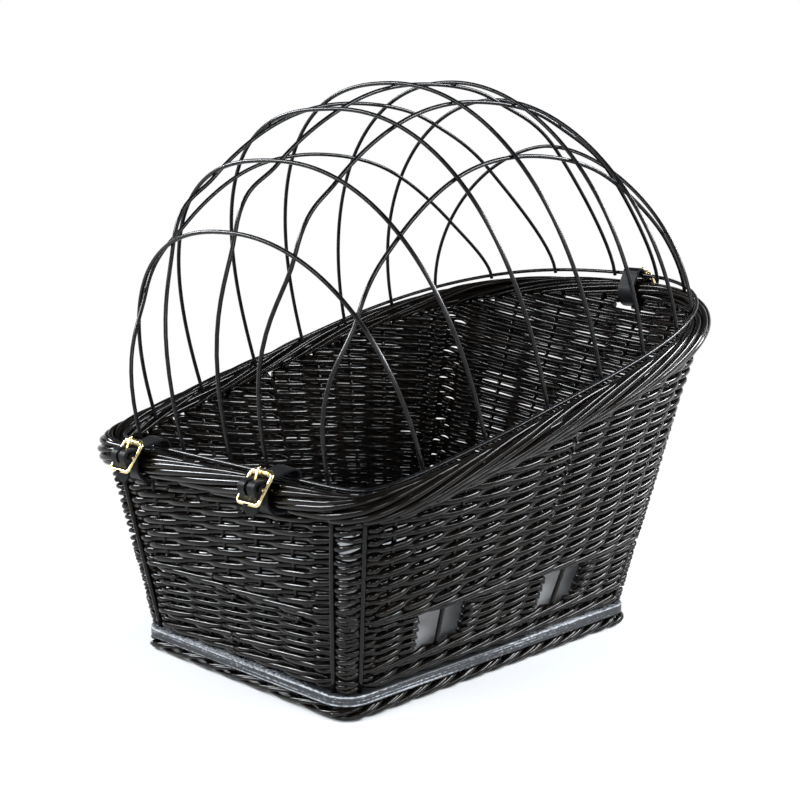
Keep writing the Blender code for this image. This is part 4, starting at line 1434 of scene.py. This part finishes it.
def make_buckle(side, seat, turn):
    """A bent frame with a centre bar, a rolled tube on its upper bar, and a prong."""
    matrix = buckle_matrix(seat, turn)
    points = []
    half_width = buckle_half_width - buckle_corner
    half_height = buckle_reach - buckle_corner
    for sign_y, sign_z, start in ((1, 1, 0), (-1, 1, 1), (-1, -1, 2), (1, -1, 3)):
        centre = Vector((sign_y * half_width, sign_z * half_height))
        quarter = arc(centre, buckle_corner, start * math.pi / 2, (start + 1) * math.pi / 2, 12)
        points += [matrix @ Vector((0, p.x, p.y)) for p in quarter]
    bar = [matrix @ Vector((0, sign * (buckle_half_width - bar_inset), 0)) for sign in (-1, 1)]
    name = "brass_frame_" + side
    frame_rod = (points, buckle_rod_radius, 0.5, True)
    bar_rod = (bar, buckle_rod_radius, 0.5, False)
    piece = tubes(name, [frame_rod, bar_rod], 14)
    finish(piece, name, (brass, brass), "buckle_" + side, ("buckle_%s_frame" % side,))

    rings = []
    outer = roller_radius
    inner = buckle_rod_radius + fit_gap
    half = roller_length / 2
    soft = roller_soft_edge
    profile = ((-half, inner), (-half, outer - soft), (soft - half, outer), (half - soft, outer),
               (half, outer - soft), (half, inner))
    for y, radius in profile:
        section = []
        for i in range(28):
            angle = 2 * math.pi * i / 28
            dent = roller_dent if i == 20 and radius > inner else 0
            section.append(matrix @ Vector(((radius - dent) * math.cos(angle), y,
                                            buckle_reach + (radius - dent) * math.sin(angle))))
        rings.append(section)
    piece = loft("brass_roller_" + side, rings, closed=True)
    piece.data.shade_smooth()
    piece.data.set_sharp_from_angle(angle=math.radians(40))
    finish(piece, "brass_roller_" + side, (brass,), "roller_" + side,
           ("buckle_%s_roller" % side,))

    over = roller_radius + 1.5 * fit_gap + prong_radius
    ring_middle = (prong_eye_radius + inner) / 2
    eye = []
    for i in range(20):
        angle = 2 * math.pi * i / 20
        eye.append(matrix @ Vector((ring_middle * math.cos(angle), 0, ring_middle * math.sin(angle))))
    shank = []
    radii = []
    length = buckle_reach + prong_overhang
    for i in range(11):
        share = i / 10
        x = over / 2 + over / 2 * share * length / buckle_reach
        bow = prong_bow * math.sin(math.pi * share)
        shank.append(matrix @ Vector((x + bow, 0, prong_radius + share * (length - prong_radius))))
        radii.append(prong_radius * (1 - prong_taper_share * share ** 3))
    name = "brass_prong_" + side
    eye_rod = (eye, (prong_eye_radius - inner) / 2, 0.5, True)
    piece = tubes(name, [eye_rod, (shank, radii, 0.5, False)], 12)
    finish(piece, name, (brass, brass), "prong_" + side, ("buckle_%s_prong" % side,))


def find_strap_places():
    for name, y, play in (("left", left_strap_y, strap_slack), ("right", right_strap_y, strap_slack),
                          ("rear", rear_strap_y, strap_hinge_play)):
        seat, out = strap_seat(y, name == "rear")
        strap_places.append((seat, (name, out, play)))


def make_fastenings():
    for seat, (name, out, play) in strap_places:
        lift = wire_under_strap(seat, out).z - seat.z
        turn = math.atan2(out.y, out.x)
        strap = make_strap(name, seat, turn, lift, play)
        make_buckle(name, seat, turn)
        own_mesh(strap)


# Floor, light and camera, in metres and watts

floor_radius = 1.6
floor_colour = (0.86, 0.86, 0.86)
floor_fade_start = 0.30
floor_fade_end = 0.75
world_strength = 0.38
world_stops = ((0.14, (1, 1, 1)), (0.32, (0.10, 0.105, 0.115)))
cool = (0.93, 0.965, 1.0)
plain = (1.0, 1.0, 1.0)
lamps = (
    ("right", (1.55, -1.15, 1.25), 0.15, (1.7, 0.26), 78, cool),
    ("right_front", (0.25, -1.9, 1.30), 0.15, (1.2, 0.2), 21, cool),
    ("left", (-1.15, 1.55, 1.25), 0.15, (1.7, 0.26), 70, cool),
    ("left_front", (-1.9, 0.25, 1.30), 0.15, (1.2, 0.2), 19, cool),
    ("front", (-1.25, -1.85, 0.6), 0.08, (1.0, 0.6), 11, plain),
)
lens_length = 64.87
lens_sensor = 36
camera_place = Vector((-0.9349, -0.8920, 0.4197))
camera_target = Vector((0.1516, 0.1973, 0.1663))


def make_floor():
    """A pale floor that fades into the white behind it, away from the basket."""
    body = bmesh.new()
    bmesh.ops.create_circle(body, cap_ends=True, segments=96, radius=floor_radius)
    floor = link_body("floor", body)
    made, tree, shader = new_material("pale_floor", 0.9)
    shader.inputs["Base Color"].default_value = (*floor_colour, 1)
    shader.inputs["Specular IOR Level"].default_value = 0.0
    distance = tree.nodes.new("ShaderNodeVectorMath")
    distance.operation = "LENGTH"
    tree.links.new(coordinates(tree), distance.inputs[0])
    fade = tree.nodes.new("ShaderNodeMapRange")
    fade.interpolation_type = "SMOOTHSTEP"
    fade.inputs["From Min"].default_value = floor_fade_start
    fade.inputs["From Max"].default_value = floor_fade_end
    tree.links.new(distance.outputs["Value"], fade.inputs["Value"])
    clear = tree.nodes.new("ShaderNodeBsdfTransparent")
    mix = tree.nodes.new("ShaderNodeMixShader")
    tree.links.new(fade.outputs["Result"], mix.inputs["Fac"])
    tree.links.new(shader.outputs["BSDF"], mix.inputs[1])
    tree.links.new(clear.outputs["BSDF"], mix.inputs[2])
    tree.links.new(mix.outputs["Shader"], tree.nodes["Material Output"].inputs["Surface"])
    floor.data.materials.append(made)


def aim(item, place, target):
    item.location = place
    item.rotation_euler = (target - place).to_track_quat("-Z", "Y").to_euler()
    bpy.context.scene.collection.objects.link(item)


def area_light(name, place, target_height, size, power, colour):
    lamp = bpy.data.lights.new(name, "AREA")
    lamp.shape = "RECTANGLE"
    lamp.size = size[0]
    lamp.size_y = size[1]
    lamp.energy = power
    lamp.color = colour
    aim(bpy.data.objects.new(name, lamp), Vector(place), Vector((0, 0, target_height)))


def make_light():
    world = bpy.data.worlds.new("studio")
    bpy.context.scene.world = world
    world.use_nodes = True
    tree = world.node_tree
    back = tree.nodes["Background"]
    path = tree.nodes.new("ShaderNodeLightPath")
    seen = maths(tree, "ADD", path.outputs["Is Camera Ray"], path.outputs["Is Transmission Ray"])
    seen = maths(tree, "ADD", seen, path.outputs["Is Glossy Ray"])
    strength = tree.nodes.new("ShaderNodeMapRange")
    strength.inputs["To Min"].default_value = world_strength
    strength.inputs["To Max"].default_value = 1.0
    tree.links.new(seen, strength.inputs["Value"])
    tree.links.new(strength.outputs["Result"], back.inputs["Strength"])
    height = tree.nodes.new("ShaderNodeSeparateXYZ")
    tree.links.new(coordinates(tree, "Generated"), height.inputs["Vector"])
    tree.links.new(ramp_of(tree, height.outputs["Z"], world_stops), back.inputs["Color"])
    for lamp in lamps:
        area_light(*lamp)


def make_camera():
    lens = bpy.data.cameras.new("camera")
    lens.lens = lens_length
    lens.sensor_width = lens_sensor
    camera = bpy.data.objects.new("camera", lens)
    aim(camera, camera_place, camera_target)
    bpy.context.scene.camera = camera
    bpy.context.scene.view_settings.view_transform = "Standard"


find_strap_places()
make_board()
make_foot_border()
make_wall()
make_rim_border()
make_cut_ends()
make_cushion()
make_dome()
make_fastenings()
make_floor()
make_light()
make_camera()
